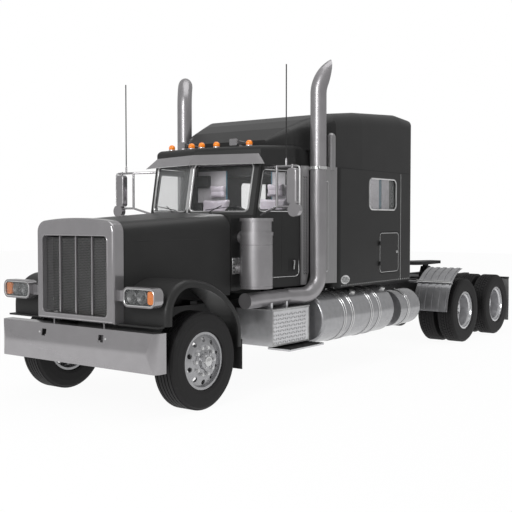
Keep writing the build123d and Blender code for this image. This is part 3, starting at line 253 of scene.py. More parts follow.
PAINT = body_enamel("charcoal_enamel", "#282828", "#2b2b2b")
CHROME = plated_steel("chrome_plate", "#9c9a9c", "#a09ea0", 0.08)
SATIN = plated_steel("satin_plate", "#969496", "#9c9a9c", 0.30)
TRIM = plated_steel("bright_trim", "#c4c4c4", "#d2d2d2", 0.16)
STAINLESS = rolled_stainless("rolled_stainless", "#939293", "#9a999a")
ALUMINIUM = polished_aluminium("buffed_aluminium", "#9c9c9e", "#a5a5a7")
PLATE = polished_aluminium("tread_plate", "#a4a4a4", "#bababa")
RIM = polished_aluminium("buffed_rim", "#c6c6c8", "#d2d2d4")
MESH = plated_steel("grille_mesh", "#6a6a6a", "#727272", 0.35)
IRON = cast_iron()
CHASSIS = chassis_paint()
RUBBER = tyre_rubber()
FLAP = flap_rubber("flap_rubber", "#6d6d6d", "#7b7b7b")
SEAL = flap_rubber("black_seal", "#0c0c0c", "#161616")
GLASS = window_glass("window_glass", "#b4b6b6", 0.03, 0.30)
CLEAR = window_glass("clear_lens", "#7d7f80", 0.14, 0.40)
AMBER = lamp_lens("amber_lens", "#d96c06", "#f4880c", 0.20)
RED = lamp_lens("red_lens", "#7d0a0a", "#c01616", 0.12)
DASH = moulded_plastic("dash_plastic", "#8b8a8c", "#989799", 3)
LINING = moulded_plastic("cab_lining", "#a7a4a8", "#b5b2b6", 6)
DARK = moulded_plastic("black_plastic", "#121213", "#1d1d1e", 3)
VINYL = seat_vinyl("seat_vinyl", "#a39ca5", "#b4adb6")
BEDDING = seat_vinyl("bedding", "#aaa5a8", "#bdb7ba")
BLUE = moulded_plastic("blue_plastic", "#2c4e5c", "#41687a", 4)
BOARD = moulded_plastic("bunk_board", "#6f6c6c", "#807d7d", 12)

SLOT_FINISH = {"charcoal_paint": PAINT, "black_paint": CHASSIS, "polished_steel": CHROME,
               "stainless": STAINLESS, "polished_aluminium": ALUMINIUM, "cast_iron": IRON, "tyre": RUBBER,
               "rubber": FLAP, "glass": GLASS, "lens": CLEAR, "amber": AMBER, "trim_plastic": DASH,
               "dark_plastic": DARK, "fabric": VINYL, "board": BOARD}
# Nodes whose finish differs from the rest of their slot; the step boxes' brighter rim aluminium is painted
# light, a lighter copy that lifts front faces which mirror dark parts
NODE_FINISH = {"exhaust_stacks": SATIN, "air_cleaners": SATIN, "step_boxes": RIM, "rim_drive1_left": RIM,
               "rim_drive2_left": RIM, "rim_drive1_right": RIM, "rim_drive2_right": RIM}
for part in frame["record"]["subparts"]:
    shown = nodes[part["node"]]
    shown.data.materials.clear()
    shown.data.materials.append(NODE_FINISH.get(part["node"], SLOT_FINISH[part["material_slot"]]))


# Shapes, each a plain mesh in the truck's frame

MERGE_DISTANCE = 0.00002
SLIVER = 0.00001


def linked(name, data):
    """A new object in the scene."""
    made = bpy.data.objects.new(name, data)
    scene.collection.objects.link(made)
    return made


def evaluated(holder):
    """What an object is after its modifiers, as a plain mesh."""
    return bpy.data.meshes.new_from_object(holder.evaluated_get(bpy.context.evaluated_depsgraph_get()))


def from_lists(points, faces):
    """A mesh from points and faces."""
    mesh = bpy.data.meshes.new("shape")
    mesh.from_pydata([tuple(p) for p in points], [], faces)
    return mesh


def from_bmesh(shape):
    """A mesh from a finished bmesh."""
    mesh = bpy.data.meshes.new("shape")
    shape.to_mesh(mesh)
    shape.free()
    return mesh


def lathe(profile, centre, axis, steps=48, closed=False):
    """Pairs of length along an axis and radius, turned round that axis through a centre."""
    turn = Vector(UP).rotation_difference(Vector(axis)).to_matrix()
    count = len(profile)
    points = []
    faces = []
    for k in range(steps):
        angle = 2 * pi * k / steps
        spoke = (cos(angle), sin(angle))
        points += [turn @ Vector((r * spoke[0], r * spoke[1], a)) + Vector(centre) for a, r in profile]
        ahead = (k + 1) % steps
        for i in range(count if closed else count - 1):
            j = (i + 1) % count
            faces.append((k * count + i, ahead * count + i, ahead * count + j, k * count + j))
    return from_lists(points, faces)


def block(low, high, round_by=0.0, segments=2):
    """A block between two corners with its edges rounded."""
    low, high = Vector(low), Vector(high)
    shape = bmesh.new()
    bmesh.ops.create_cube(shape, size=1)
    bmesh.ops.scale(shape, vec=high - low, verts=shape.verts)
    if round_by:
        bmesh.ops.bevel(shape, geom=shape.edges[:], offset=round_by, segments=segments, affect="EDGES",
                        profile=0.5)
    bmesh.ops.translate(shape, vec=(high + low) / 2, verts=shape.verts)
    return from_bmesh(shape)


def tube(points, radius, cyclic=False, sides=8):
    """A round tube along a run of points."""
    curve = bpy.data.curves.new("run", "CURVE")
    curve.dimensions = "3D"
    curve.bevel_depth = radius
    curve.bevel_resolution = max(sides // 4 - 1, 0)
    curve.use_fill_caps = True
    spline = curve.splines.new("POLY")
    spline.points.add(len(points) - 1)
    for knot, point in zip(spline.points, points):
        knot.co = (*point, 1)
    spline.use_cyclic_u = cyclic
    holder = linked("run", curve)
    mesh = evaluated(holder)
    bpy.data.objects.remove(holder)
    bpy.data.curves.remove(curve)
    return mesh


def rounded(corners, radius, steps=6):
    """The points of a flat outline whose corners are turned into arcs."""
    outline = []
    for i, corner in enumerate(corners):
        here = Vector(corner)
        back = (Vector(corners[i - 1]) - here).normalized()
        ahead = (Vector(corners[(i + 1) % len(corners)]) - here).normalized()
        half = back.angle(ahead) / 2
        centre = here + (back + ahead).normalized() * radius / sin(half)
        start = here + back * radius / tan(half) - centre
        end = here + ahead * radius / tan(half) - centre
        for k in range(steps + 1):
            outline.append(centre + start.lerp(end, k / steps).normalized() * radius)
    return outline


def rectangle(low, high):
    """The four corners of a flat rectangle."""
    return [(low[0], low[1]), (high[0], low[1]), (high[0], high[1]), (low[0], high[1])]


def prism(outline, place, low, high):
    """A flat outline drawn between two depths; place turns (u, v, depth) into a point."""
    count = len(outline)
    points = [place(u, v, w) for w in (low, high) for u, v in outline]
    faces = [tuple(range(count)), tuple(range(count, 2 * count))]
    faces += [(i, (i + 1) % count, count + (i + 1) % count, count + i) for i in range(count)]
    return from_lists(points, faces)


def other_side(mesh):
    """A copy of a shape on the truck's other side."""
    copy = mesh.copy()
    copy.transform(Matrix.Scale(-1, 4, LEFT))
    return copy


def both(meshes):
    """Shapes made for the left, with their copies on the right."""
    return meshes + [other_side(m) for m in meshes]


def on_side(meshes, side):
    """Shapes made for the left, moved to a side."""
    if side > 0:
        return meshes
    moved = [other_side(m) for m in meshes]
    for m in meshes:
        bpy.data.meshes.remove(m)
    return moved


def piece(name, meshes, material, body, replaces=(), smooth=35):
    """Join shapes into one named piece that rides on a body."""
    joined = bmesh.new()
    for mesh in meshes:
        joined.from_mesh(mesh)
        bpy.data.meshes.remove(mesh)
    bmesh.ops.remove_doubles(joined, verts=joined.verts, dist=MERGE_DISTANCE)
    bmesh.ops.dissolve_degenerate(joined, edges=joined.edges, dist=SLIVER)
    bmesh.ops.recalc_face_normals(joined, faces=joined.faces)
    mesh = bpy.data.meshes.new(name)
    joined.to_mesh(mesh)
    joined.free()
    mesh.materials.append(material)
    mesh.polygons.foreach_set("material_index", [0] * len(mesh.polygons))
    mesh.shade_smooth()
    mesh.set_sharp_from_angle(angle=radians(smooth))
    made = linked(name, mesh)
    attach(made, body)
    if replaces:
        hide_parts(*replaces)
    return made


def pair(name, meshes, material=TRIM, body="chassis", replaces=()):
    """One piece of shapes made for the left and their copies on the right; bright trim unless told."""
    return piece(name, both(meshes), material, body, replaces)


# Geometry Nodes trees that set one small shape on many points


def scatter_tree(name, sizes, shape):
    """A tree that sets a shape on each point, along the point's aim and turned by its turn."""
    tree = bpy.data.node_groups.new(name, "GeometryNodeTree")
    tree.interface.new_socket("Geometry", in_out="INPUT", socket_type="NodeSocketGeometry")
    for size, value in sizes.items():
        socket = tree.interface.new_socket(size, in_out="INPUT", socket_type="NodeSocketFloat")
        socket.default_value = value
    tree.interface.new_socket("Material", in_out="INPUT", socket_type="NodeSocketMaterial")
    tree.interface.new_socket("Geometry", in_out="OUTPUT", socket_type="NodeSocketGeometry")
    entry = add(tree, "NodeGroupInput")
    aim = add(tree, "GeometryNodeInputNamedAttribute", {"Name": "aim"}, data_type="FLOAT_VECTOR")
    turn = add(tree, "GeometryNodeInputNamedAttribute", {"Name": "turn"}, data_type="FLOAT")
    upright = add(tree, "FunctionNodeAlignRotationToVector", {"Vector": aim}, axis="Z")
    spin = add(tree, "FunctionNodeAxisAngleToRotation", {"Axis": UP, "Angle": turn})
    facing = add(tree, "FunctionNodeRotateRotation", {"Rotation": upright, "Rotate By": spin},
                 rotation_space="LOCAL")
    small = shape(tree, entry.outputs)
    placed = add(tree, "GeometryNodeInstanceOnPoints", {"Points": entry, "Instance": small,
                                                        "Rotation": facing})
    real = add(tree, "GeometryNodeRealizeInstances", {"Geometry": placed})
    finished = add(tree, "GeometryNodeSetMaterial", {"Geometry": real, "Material": entry.outputs["Material"]})
    add(tree, "NodeGroupOutput", {"Geometry": finished})
    return tree


def bolt_shape(tree, size):
    """A hexagon head, half of it below the surface."""
    return add(tree, "GeometryNodeMeshCylinder", {"Vertices": 6, "Radius": size["Radius"],
                                                  "Depth": size["Depth"]})


def lozenge_shape(tree, size):
    """A low oval dome: a rivet head, a button or a raised mark on tread plate."""
    ball = add(tree, "GeometryNodeMeshUVSphere", {"Segments": 8, "Rings": 5, "Radius": 0.5})
    scale = add(tree, "ShaderNodeCombineXYZ", {"X": size["Length"], "Y": size["Width"], "Z": size["Depth"]})
    return add(tree, "GeometryNodeTransform", {"Geometry": ball, "Scale": scale})


def ring_shape(tree, size):
    """One six-sided cell of punched mesh."""
    cell = add(tree, "GeometryNodeCurvePrimitiveCircle", {"Resolution": 6, "Radius": size["Radius"]})
    wire = add(tree, "GeometryNodeCurvePrimitiveCircle", {"Resolution": 3, "Radius": size["Wire"]})
    return add(tree, "GeometryNodeCurveToMesh", {"Curve": cell, "Profile Curve": wire})


def slab_shape(tree, size):
    """A small block: a tread block, a strap bolt or a tooth of a step."""
    scale = add(tree, "ShaderNodeCombineXYZ", {"X": size["Width"], "Y": size["Length"], "Z": size["Depth"]})
    return add(tree, "GeometryNodeMeshCube", {"Size": scale})


BOLTS = scatter_tree("bolt_heads", {"Radius": 0.01, "Depth": 0.02}, bolt_shape)
DOMES = scatter_tree("oval_domes", {"Length": 0.02, "Width": 0.02, "Depth": 0.01}, lozenge_shape)
CELLS = scatter_tree("mesh_cells", {"Radius": 0.01, "Wire": 0.002}, ring_shape)
SLABS = scatter_tree("small_slabs", {"Width": 0.02, "Length": 0.02, "Depth": 0.01}, slab_shape)


def scatter(tree, spots, material, **sizes):
    """Run a scattering tree on (point, aim, turn) rows and return its plain mesh."""
    seeds = from_lists([row[0] for row in spots], [])
    aim = seeds.attributes.new("aim", "FLOAT_VECTOR", "POINT")
    aim.data.foreach_set("vector", [c for row in spots for c in row[1]])
    turn = seeds.attributes.new("turn", "FLOAT", "POINT")
    turn.data.foreach_set("value", [row[2] for row in spots])
    holder = linked("seeds", seeds)
    modifier = holder.modifiers.new("scatter", "NODES")
    modifier.node_group = tree
    wanted = {**sizes, "Material": material}
    for item in tree.interface.items_tree:
        if item.in_out == "INPUT" and item.name in wanted:
            modifier[item.identifier] = wanted[item.name]
    holder.update_tag()
    mesh = evaluated(holder)
    bpy.data.objects.remove(holder)
    bpy.data.meshes.remove(seeds)
    mesh.materials.clear()
    return mesh


def ring_of(count, radius, centre, axis, start=0.0):
    """Evenly spaced spots on a circle round an axis along X, aimed along the axis."""
    spots = []
    for k in range(count):
        angle = start + 2 * pi * k / count
        spots.append((Vector(centre) + Vector((0, radius * cos(angle), radius * sin(angle))), axis, 0.0))
    return spots


# Tyres: a turned carcass with ribs or blocks for its tread

GROOVE_DEPTH = 0.013
BEAD_RADIUS = 0.287
BELLY_RADIUS = 0.400
TYRE_HALF = 0.140
# Ribs as pairs of edges along the axle, and rows of blocks as place along the axle, width and skew
FRONT_RIBS = [(-0.106, -0.072), (-0.062, -0.026), (-0.017, 0.017), (0.026, 0.062), (0.072, 0.106)]
DRIVE_RIBS = [(-0.012, 0.012)]
BLOCK_ROWS = ((-0.087, 0.037, 0.24), (-0.041, 0.036, -0.3), (0.041, 0.036, 0.3), (0.087, 0.037, -0.24))
BLOCK_COUNT = 58
BLOCK_LENGTH = 0.043


def tyre_section(tread, ribs):
    """A tyre's section as (along axle, radius) pairs from bead to bead, with ribs in its tread."""
    flank = [(0.088, BEAD_RADIUS), (0.113, BEAD_RADIUS), (0.115, 0.306)]
    for k in range(15):
        r = 0.312 + 0.0125 * k
        bulge = 1 - ((r - BELLY_RADIUS) / 0.215) ** 2
        ridge = 0.0018 if k in (2, 3, 9, 12) else 0.0
        flank.append((min(0.108 + (TYRE_HALF - 0.110) * bulge + ridge, TYRE_HALF - 0.0005), r))
    flank += [(TYRE_HALF - 0.021, tread - 0.020), (TYRE_HALF - 0.030, tread - 0.006)]
    section = [(-a, r) for a, r in flank]
    for inner, outer in ribs:
        section += [(inner, tread - GROOVE_DEPTH), (inner + 0.001, tread), (outer - 0.001, tread),
                    (outer, tread - GROOVE_DEPTH)]
    return section + flank[::-1]


def tyre(centre, tread, ribs, rows, steps):
    """A tyre's ribbed carcass, turned in steps, with rows of skewed blocks round it."""
    meshes = [lathe(tyre_section(tread, ribs), centre, LEFT, steps, closed=True)]
    reach = tread - GROOVE_DEPTH / 2 - 0.0006
    for row, (x, width, skew) in enumerate(rows):
        spots = []
        for k in range(BLOCK_COUNT):
            angle = 2 * pi * (k + 0.5 * (row % 2)) / BLOCK_COUNT
            aim = Vector((0, sin(angle), cos(angle)))
            spots.append((centre + Vector((x, 0, 0)) + aim * reach, aim, skew))
        meshes.append(scatter(SLABS, spots, RUBBER, Width=width, Length=BLOCK_LENGTH, Depth=GROOVE_DEPTH))
    return meshes


for side_name, side in SIDES:
    for wheel in WHEELS:
        node = f"tyre_{wheel}_{side_name}"
        low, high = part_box(node)
        hub = (low + high) / 2
        tread = (high.z - low.z) / 2
        spread = Vector(((high.x - low.x) / 2 - TYRE_HALF, 0, 0))
        if wheel == "front":
            meshes = tyre(hub, tread, FRONT_RIBS, (), 120)
        else:
            meshes = tyre(hub - spread, tread, DRIVE_RIBS, BLOCK_ROWS, 96)
            meshes += tyre(hub + spread, tread, DRIVE_RIBS, BLOCK_ROWS, 96)
        piece(f"road_{node}", meshes, RUBBER, f"wheel_{wheel}_{side_name}", (node,), smooth=28)

# Wheel nuts, hub bolts and hub caps

NUT_RING = 0.1435
NUT_COUNT = 10
FRONT_CAP = [(0.0, 0.052), (0.010, 0.052), (0.013, 0.048), (0.013, 0.040), (0.020, 0.030), (0.023, 0.0)]
DRIVE_CAP = [(0.004, 0.050), (0.010, 0.046), (0.012, 0.0)]
# By kind of wheel: how far out its nuts and hub are, its hub bolts' count, ring, radius and depth, its cap
HUBS = {"front": (0.122, 0.176, 6, 0.070, 0.008, 0.016, FRONT_CAP),
        "drive": (0.013, 0.129, 8, 0.083, 0.011, 0.034, DRIVE_CAP)}


def wheel_hardware(wheel, side_name, side):
    """Nuts, hub bolts and cap on one wheel."""
    nuts_out, hub_out, count, ring, radius, depth, cap = HUBS[wheel.rstrip("12")]
    hub = middle(f"rim_{wheel}_{side_name}")
    hub.x = middle(f"tyre_{wheel}_{side_name}").x
    out = Vector((side, 0, 0))
    nut_face = hub + out * nuts_out
    hub_face = hub + out * hub_out
    meshes = [scatter(BOLTS, ring_of(NUT_COUNT, NUT_RING, nut_face, out), TRIM, Radius=0.0185, Depth=0.056),
              scatter(DOMES, ring_of(NUT_COUNT, NUT_RING, nut_face + out * 0.027, out), TRIM, Length=0.026,
                      Width=0.026, Depth=0.022),
              scatter(BOLTS, ring_of(count, ring, hub_face, out), TRIM, Radius=radius, Depth=depth),
              lathe(cap, hub_face, out, 32)]
    piece(f"wheel_nuts_{wheel}_{side_name}", meshes, TRIM, f"wheel_{wheel}_{side_name}")


for side_name, side in SIDES:
    for wheel in WHEELS:
        wheel_hardware(wheel, side_name, side)

# Places on the faces that pieces sit on: across or along, up, and depth


def facing_front(u, v, w):
    """A point on a face that looks forward."""
    return (u, w, v)


def facing_left(u, v, w):
    """A point on a wall that looks to the left; u is behind the front axle."""
    return (w, at(u), v)


# The windshield's height at its foot, and how far its halves fall back to the side and upwards
BELT_Z = 2.040
VEE = 0.28
RAKE = 0.19


def windshield_face(u, v, w):
    """A point on the left half of the windshield's outer face."""
    return (u, at(1.045 + VEE * u + RAKE * (v - BELT_Z)) + w, v)


def door_skin(y, z):
    """How far out the cab's side is at a length behind the front axle and a height."""
    rise = max(z - BELT_Z, 0.0) / 0.72
    corner_x = 0.825 + 0.010 * rise
    corner_y = 1.276 + 0.140 * rise
    rear_x = 0.970 - 0.065 * rise
    return corner_x + (rear_x - corner_x) * min((y - corner_y) / (2.035 - corner_y), 1.0)


def door_face(u, v, w):
    """A point on the left door's outer skin."""
    return (door_skin(u, v) + w, at(u), v)


def loop(outline, place, depth, radius, sides=8):
    """A round bead along a closed outline."""
    return tube([place(u, v, depth) for u, v in outline], radius, cyclic=True, sides=sides)


def run(outline, place, depth, radius, sides=8):
    """A round bead along an open outline."""
    return tube([place(u, v, depth) for u, v in outline], radius, sides=sides)


def ellipse(centre, wide, tall, steps=28):
    """The points of a flat ellipse."""
    return [(centre[0] + wide * cos(2 * pi * k / steps), centre[1] + tall * sin(2 * pi * k / steps))
            for k in range(steps)]


# Grille: punched mesh, three bars and a bead round the opening

SURROUND_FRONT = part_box("grille_surround")[0].y
GRILLE_LOW = (-0.495, 0.990)
GRILLE_HIGH = (0.495, 1.815)
MESH_PITCH = 0.020
MESH_WIDTH = 0.975
BAR_HALF = 0.009
BAR_XS = (-0.2475, 0, 0.2475)


def grille_cells():
    """Six-sided cells in offset rows that fill the opening."""
    spots = []
    row_step = MESH_PITCH * 0.866
    depth = SURROUND_FRONT + 0.056
    for row in range(int((GRILLE_HIGH[1] - GRILLE_LOW[1] - 0.014) / row_step)):
        z = GRILLE_LOW[1] + 0.013 + row * row_step
        start = GRILLE_LOW[0] + 0.012 + MESH_PITCH / 2 * (row % 2)
        for column in range(int(MESH_WIDTH / MESH_PITCH)):
            spots.append(((start + column * MESH_PITCH, depth, z), FORWARD, pi / 6))
    return scatter(CELLS, spots, MESH, Radius=MESH_PITCH * 0.577, Wire=0.0024)


piece("grille_mesh", [grille_cells()], MESH, "hood", ("grille",))
grille_bars = [block((x - BAR_HALF, SURROUND_FRONT + 0.026, GRILLE_LOW[1] + 0.002),
                     (x + BAR_HALF, SURROUND_FRONT + 0.052, GRILLE_HIGH[1] - 0.002), 0.004) for x in BAR_XS]
opening = rounded(rectangle((-0.503, 0.982), (0.503, 1.823)), 0.052)
grille_bars.append(loop(opening, facing_front, SURROUND_FRONT + 0.003, 0.005))
piece("grille_bars", grille_bars, CHROME, "hood")

# Headlamps: a black pocket with two round lamps and a turn lamp behind a clear cover

LAMP_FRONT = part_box("headlamps")[0].y
LAMP_Z = 1.215
LAMP_XS = (0.826, 0.966)
POCKET = ((0.745, 1.137), (1.143, 1.293), 0.048)
BOWL = [(0.000, 0.010), (0.002, 0.030), (0.012, 0.050), (0.022, 0.058), (0.024, 0.064), (0.021, 0.069),
        (0.0, 0.070)]
BULB = [(0.0, 0.0), (0.010, 0.0), (0.012, 0.016), (0.004, 0.020), (0.0, 0.020)]


def lamp_plate(low, high, radius, front, back):
    """A plate with rounded corners between two depths behind the left headlamp's front."""
    outline = rounded(rectangle(low, high), radius)
    return prism(outline, facing_front, LAMP_FRONT + front, LAMP_FRONT + back)


pair("lamp_covers", [lamp_plate(*POCKET, 0.010, 0.013)], CLEAR, "hood", ("headlamp_lenses",))
pair("lamp_pockets", [lamp_plate(*POCKET, 0.0435, 0.0448)], DARK, "hood")
reflectors = [lathe(BOWL, (x, LAMP_FRONT + 0.042, LAMP_Z), FORWARD, 36) for x in LAMP_XS]
reflectors += [lathe(BULB, (x, LAMP_FRONT + 0.040, LAMP_Z), FORWARD, 20) for x in LAMP_XS]
pair("lamp_reflectors", reflectors, MESH, "hood")
turn_lamp = lamp_plate((1.050, 1.150), (1.132, 1.281), 0.026, 0.016, 0.043)
pair("turn_lamps", [turn_lamp], AMBER, "hood")
lamp_rim = rounded(rectangle((0.741, 1.133), (1.147, 1.297)), 0.052)
pair("lamp_rims", [loop(lamp_rim, facing_front, LAMP_FRONT + 0.003, 0.005)], body="hood")

# Hood creases along both sides, and bolt heads in the bumper


def hood_side(y, z, out):
    """A point on the hood's left side at a length behind the front axle and a height."""
    return (0.580 + 0.265 * (y + 0.600) / 1.420 + out, at(y), z)


pair("hood_creases", [run([(-0.420, 1.762), (0.400, 1.766)], hood_side, -0.0005, 0.003)], PAINT,
     "hood")
BUMPER_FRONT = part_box("bumper")[0].y
bumper_bolts = [((0.510, BUMPER_FRONT + 0.008, 0.778), FORWARD, 0.0)]
pair("bumper_bolts", [scatter(DOMES, bumper_bolts, TRIM, Length=0.026, Width=0.026, Depth=0.012)])

# Windshield: bright beads round the panes, a strip at the middle and a wiper a side

pane_outline = rounded([(0.026, 2.078), (0.758, 2.078), (0.768, 2.660), (0.026, 2.660)], 0.055)
glazing = both([loop(pane_outline, windshield_face, -0.001, 0.012)])
glazing.append(run([(0.0, 2.052), (0.0, 2.690)], windshield_face, -0.002, 0.013))
piece("windshield_beads", glazing, TRIM, "chassis")
wiper = [run([(0.300, 2.062), (0.306, 2.085), (0.440, 2.150)], windshield_face, -0.024, 0.006),
         run([(0.240, 2.100), (0.640, 2.148)], windshield_face, -0.016, 0.005),
         lathe([(0.0, 0.0), (0.0, 0.014), (0.020, 0.014), (0.028, 0.008), (0.028, 0.0)],
               windshield_face(0.300, 2.058, 0.004), FORWARD, 14)]
pair("wipers", wiper, DARK)
VISOR_HALF = 0.948
VISOR_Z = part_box("sun_visor")[0].z + 0.003
visor_edge = [(x, at(1.062 + x * VEE) + 0.004, VISOR_Z) for x in (0.0, VISOR_HALF)]
pair("visor_lip", [tube(visor_edge, 0.0045)])

# Roof: amber marker lamps, and a dark plate in each horn's mouth as painted shade

ROOF_FRONT_Y = 1.1818
MARKERS = ((0.0, 1.325), (0.2, 1.367), (-0.2, 1.367), (0.624, 1.468), (-0.624, 1.468))
MARKER_DOME = [(0.010, 0.036), (0.022, 0.040), (0.036, 0.040), (0.050, 0.036), (0.062, 0.027), (0.069, 0.015),
               (0.071, 0.0)]
MARKER_SEAT = [(-0.010, 0.0415), (0.006, 0.0418), (0.011, 0.040), (0.011, 0.0)]
marker_places = [(x, at(y), 2.852 + 0.06 * (y - ROOF_FRONT_Y)) for x, y in MARKERS]
marker_lenses = [lathe(MARKER_DOME, place, UP, 28) for place in marker_places]
piece("marker_lenses", marker_lenses, AMBER, "chassis", ("roof_lamps",))
marker_seats = [lathe(MARKER_SEAT, place, UP, 28) for place in marker_places]
piece("marker_seats", marker_seats, TRIM, "chassis")
HORN_LOW, HORN_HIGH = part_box("air_horns")
HORN_Z = HORN_HIGH.z - 0.040
HORN_X = 0.420


def horn_outline(wide, tall, radius):
    """The outline of the left horn's mouth, by half its width and height."""
    return rounded(rectangle((HORN_X - wide, HORN_Z - tall), (HORN_X + wide, HORN_Z + tall)), radius)


# A dark plate just inside each horn's mouth: painted shade where the inside of the bell would be dark.
mouth_shade = prism(horn_outline(0.048, 0.031, 0.010), facing_front, HORN_LOW.y + 0.0004, HORN_LOW.y + 0.004)
pair("horn_mouth_shades", [mouth_shade], DARK)
pair("horn_rims", [loop(horn_outline(0.053, 0.035, 0.012), facing_front, HORN_LOW.y + 0.005, 0.0045)])

# Cab doors: bright edge bead, window beads, a recessed handle and mirror details

MIRROR_Y = at(1.300)
DOOR_REAR = 2.024
DOOR_ROUND = 0.060
MIRROR_DISH = [(0.0, 0.070), (0.006, 0.060), (0.010, 0.035), (0.011, 0.0)]
door_edge = [(DOOR_REAR, 2.560), (DOOR_REAR, 1.360)]
door_edge += [(DOOR_REAR - DOOR_ROUND * (1 - cos(pi * k / 12)), 1.352 - DOOR_ROUND * sin(pi * k / 12))
              for k in range(1, 7)]
door_edge += [(1.400, 1.292)]
window_outline = rounded([(1.364, 2.098), (1.973, 2.098), (1.973, 2.568), (1.464, 2.568)], 0.045)
window_trim = rounded([(1.350, 2.085), (1.986, 2.085), (1.986, 2.581), (1.456, 2.581)], 0.056)
pressing = rounded([(1.735, 1.330), (2.000, 1.330), (2.000, 2.030), (1.735, 2.030)], 0.070)
handle_plate = rounded(rectangle((1.850, 1.352), (1.982, 1.512)), 0.020)
whip = [(1.283, MIRROR_Y, 2.682), (1.283, MIRROR_Y, 3.748)]
hoop = [(1.430, 2.592), (1.452, 2.590), (1.464, 2.575), (1.468, 2.550), (1.468, 2.180), (1.464, 2.150),
        (1.448, 2.134), (1.420, 2.132)]
mirror_pane = rounded(rectangle((1.318, 2.166), (1.437, 2.558)), 0.034)
for side_name, side in SIDES:
    beads = [run(door_edge, door_face, 0.001, 0.0045), loop(window_trim, door_face, 0.001, 0.006),
             tube([(u, MIRROR_Y, v) for u, v in hoop], 0.011)]
    seals = [loop(window_outline, door_face, -0.006, 0.010), prism(handle_plate, door_face, -0.002, 0.0015)]
    lever = [run([(1.925, 1.378), (1.925, 1.392), (1.935, 1.470), (1.935, 1.486)], door_face, 0.014, 0.011),
             run([(1.930, 1.484), (1.930, 1.490)], door_face, 0.006, 0.015)]
    pressed = [loop(pressing, door_face, -0.001, 0.0028)]
    glass = [prism(mirror_pane, facing_front, MIRROR_Y + 0.0402, MIRROR_Y + 0.0412),
             lathe(MIRROR_DISH, (1.408, MIRROR_Y + 0.025, 2.098), REARWARD, 28)]
    for name, shapes, material, slot in (("door_beads", beads, TRIM, "polished_steel"),
                                         ("door_seals", seals, SEAL, "rubber"),
                                         ("door_handle", lever, TRIM, "polished_steel"),
                                         ("door_pressing", pressed, PAINT, "charcoal_paint"),
                                         ("mirror_glass", glass, TRIM, "polished_steel"),
                                         ("antenna", [tube(whip, 0.0075)], CHASSIS, "black_paint")):
        piece(f"{name}_{side_name}", on_side(shapes, side), material, f"door_{side_name}")

# Cowl plates with four dark buttons, and the seams of the air cleaners

CLEANER = (1.062, at(1.030))
CLEANER_SEAM = [(-0.003, 0.184), (0.0, 0.188), (0.003, 0.184)]
pair("cowl_plates", [block((0.8360, at(0.861), 1.362), (0.8480, at(0.990), 1.550), 0.003)])
buttons = [((0.848, at(0.886), 1.390 + 0.044 * k), LEFT, 0.0) for k in range(4)]
pair("cowl_buttons", [scatter(DOMES, buttons, DARK, Length=0.020, Width=0.028, Depth=0.012)], DARK)
pair("cleaner_seams", [lathe(CLEANER_SEAM, (*CLEANER, z), UP, 64) for z in (1.232, 1.700)], CHROME)

# Stacks: pressed slots in the flat shields behind them, dark marks painted as the shade in their
# perforations, and bright clamps

STACK = (1.102, at(2.252))
WING_START = Vector((0.9785, at(2.076), 0.0))
WING_RUN = Vector((0.2472, 0.9690, 0.0))
WING_FACE = Vector((0.9690, -0.2472, 0.0))
HOLE_PITCH = 0.036
CLAMP_RING = [(-0.019, 0.1085), (-0.017, 0.112), (0.017, 0.112), (0.019, 0.1085)]


def on_wing(along, z, out):
    """A point on the left shield's flat wings, by its length along them and its height."""
    return WING_START + WING_RUN * along + WING_FACE * out + Vector((0, 0, z))


wing_slot = rounded(rectangle((0.400, 1.330), (0.440, 2.470)), 0.019)
pair("shield_slots", [loop(wing_slot, on_wing, 0.001, 0.005)], TRIM)
# Perforations drawn as small dark domes: painted shade where the holes would show dark.
hole_shades = [(on_wing(HOLE_PITCH + HOLE_PITCH * column, 1.320 + HOLE_PITCH * row, 0.0), WING_FACE, 0.6)
         for row in range(34) for column in range(2)]
pair("shield_hole_shades", [scatter(DOMES, hole_shades, SEAL, Length=0.044, Width=0.011, Depth=0.004)], SEAL)
clamp = [lathe(CLAMP_RING, (*STACK, 2.623), UP, 40),
         block((1.165, STACK[1] - 0.120, 2.606), (1.195, STACK[1] - 0.070, 2.640), 0.004)]
pair("stack_clamps", clamp)

# Sleeper: window frames with dividers and blinds behind them, seams, rivets, markers and luggage door trim

SLEEPER_X = 1.120
SLEEPER_START = 2.790
MARKER_PLACE = (2.870, 1.207)
LATCH = [(0.0, 0.020), (0.006, 0.020), (0.008, 0.014), (0.008, 0.0)]
frame_outline = rounded(rectangle((3.494, 2.124), (4.256, 2.546)), 0.076)
pair("sleeper_frames", [loop(frame_outline, facing_left, SLEEPER_X + 0.001, 0.011)])
divider = block((1.082, at(3.830), 2.132), (1.090, at(3.890), 2.538), 0.002)
pair("sleeper_dividers", [divider], BLUE)
blind = block((1.078, at(4.130), 2.090), (1.088, at(4.290), 2.580), 0.002)
pair("sleeper_blinds", [blind], SEAL)
seam = block((SLEEPER_X - 0.002, at(SLEEPER_START), 2.6465), (SLEEPER_X + 0.0008, at(4.670), 2.6535))
pair("sleeper_seams", [seam], SEAL)
pair("sleeper_strips", [run([(4.400, 1.125), (4.400, 2.640)], facing_left, SLEEPER_X, 0.004)])
rivets = [((SLEEPER_X, at(SLEEPER_START + 0.058 * k), 1.134), LEFT, 0.0) for k in range(33)]
pair("sleeper_rivets", [scatter(DOMES, rivets, TRIM, Length=0.016, Width=0.016, Depth=0.008)])
marker_rim = loop(ellipse(MARKER_PLACE, 0.100, 0.050), facing_left, SLEEPER_X + 0.002, 0.010)
marker_back = prism(ellipse(MARKER_PLACE, 0.098, 0.048), facing_left, SLEEPER_X - 0.002, SLEEPER_X + 0.002)
pair("sleeper_marker_rims", [marker_rim, marker_back])
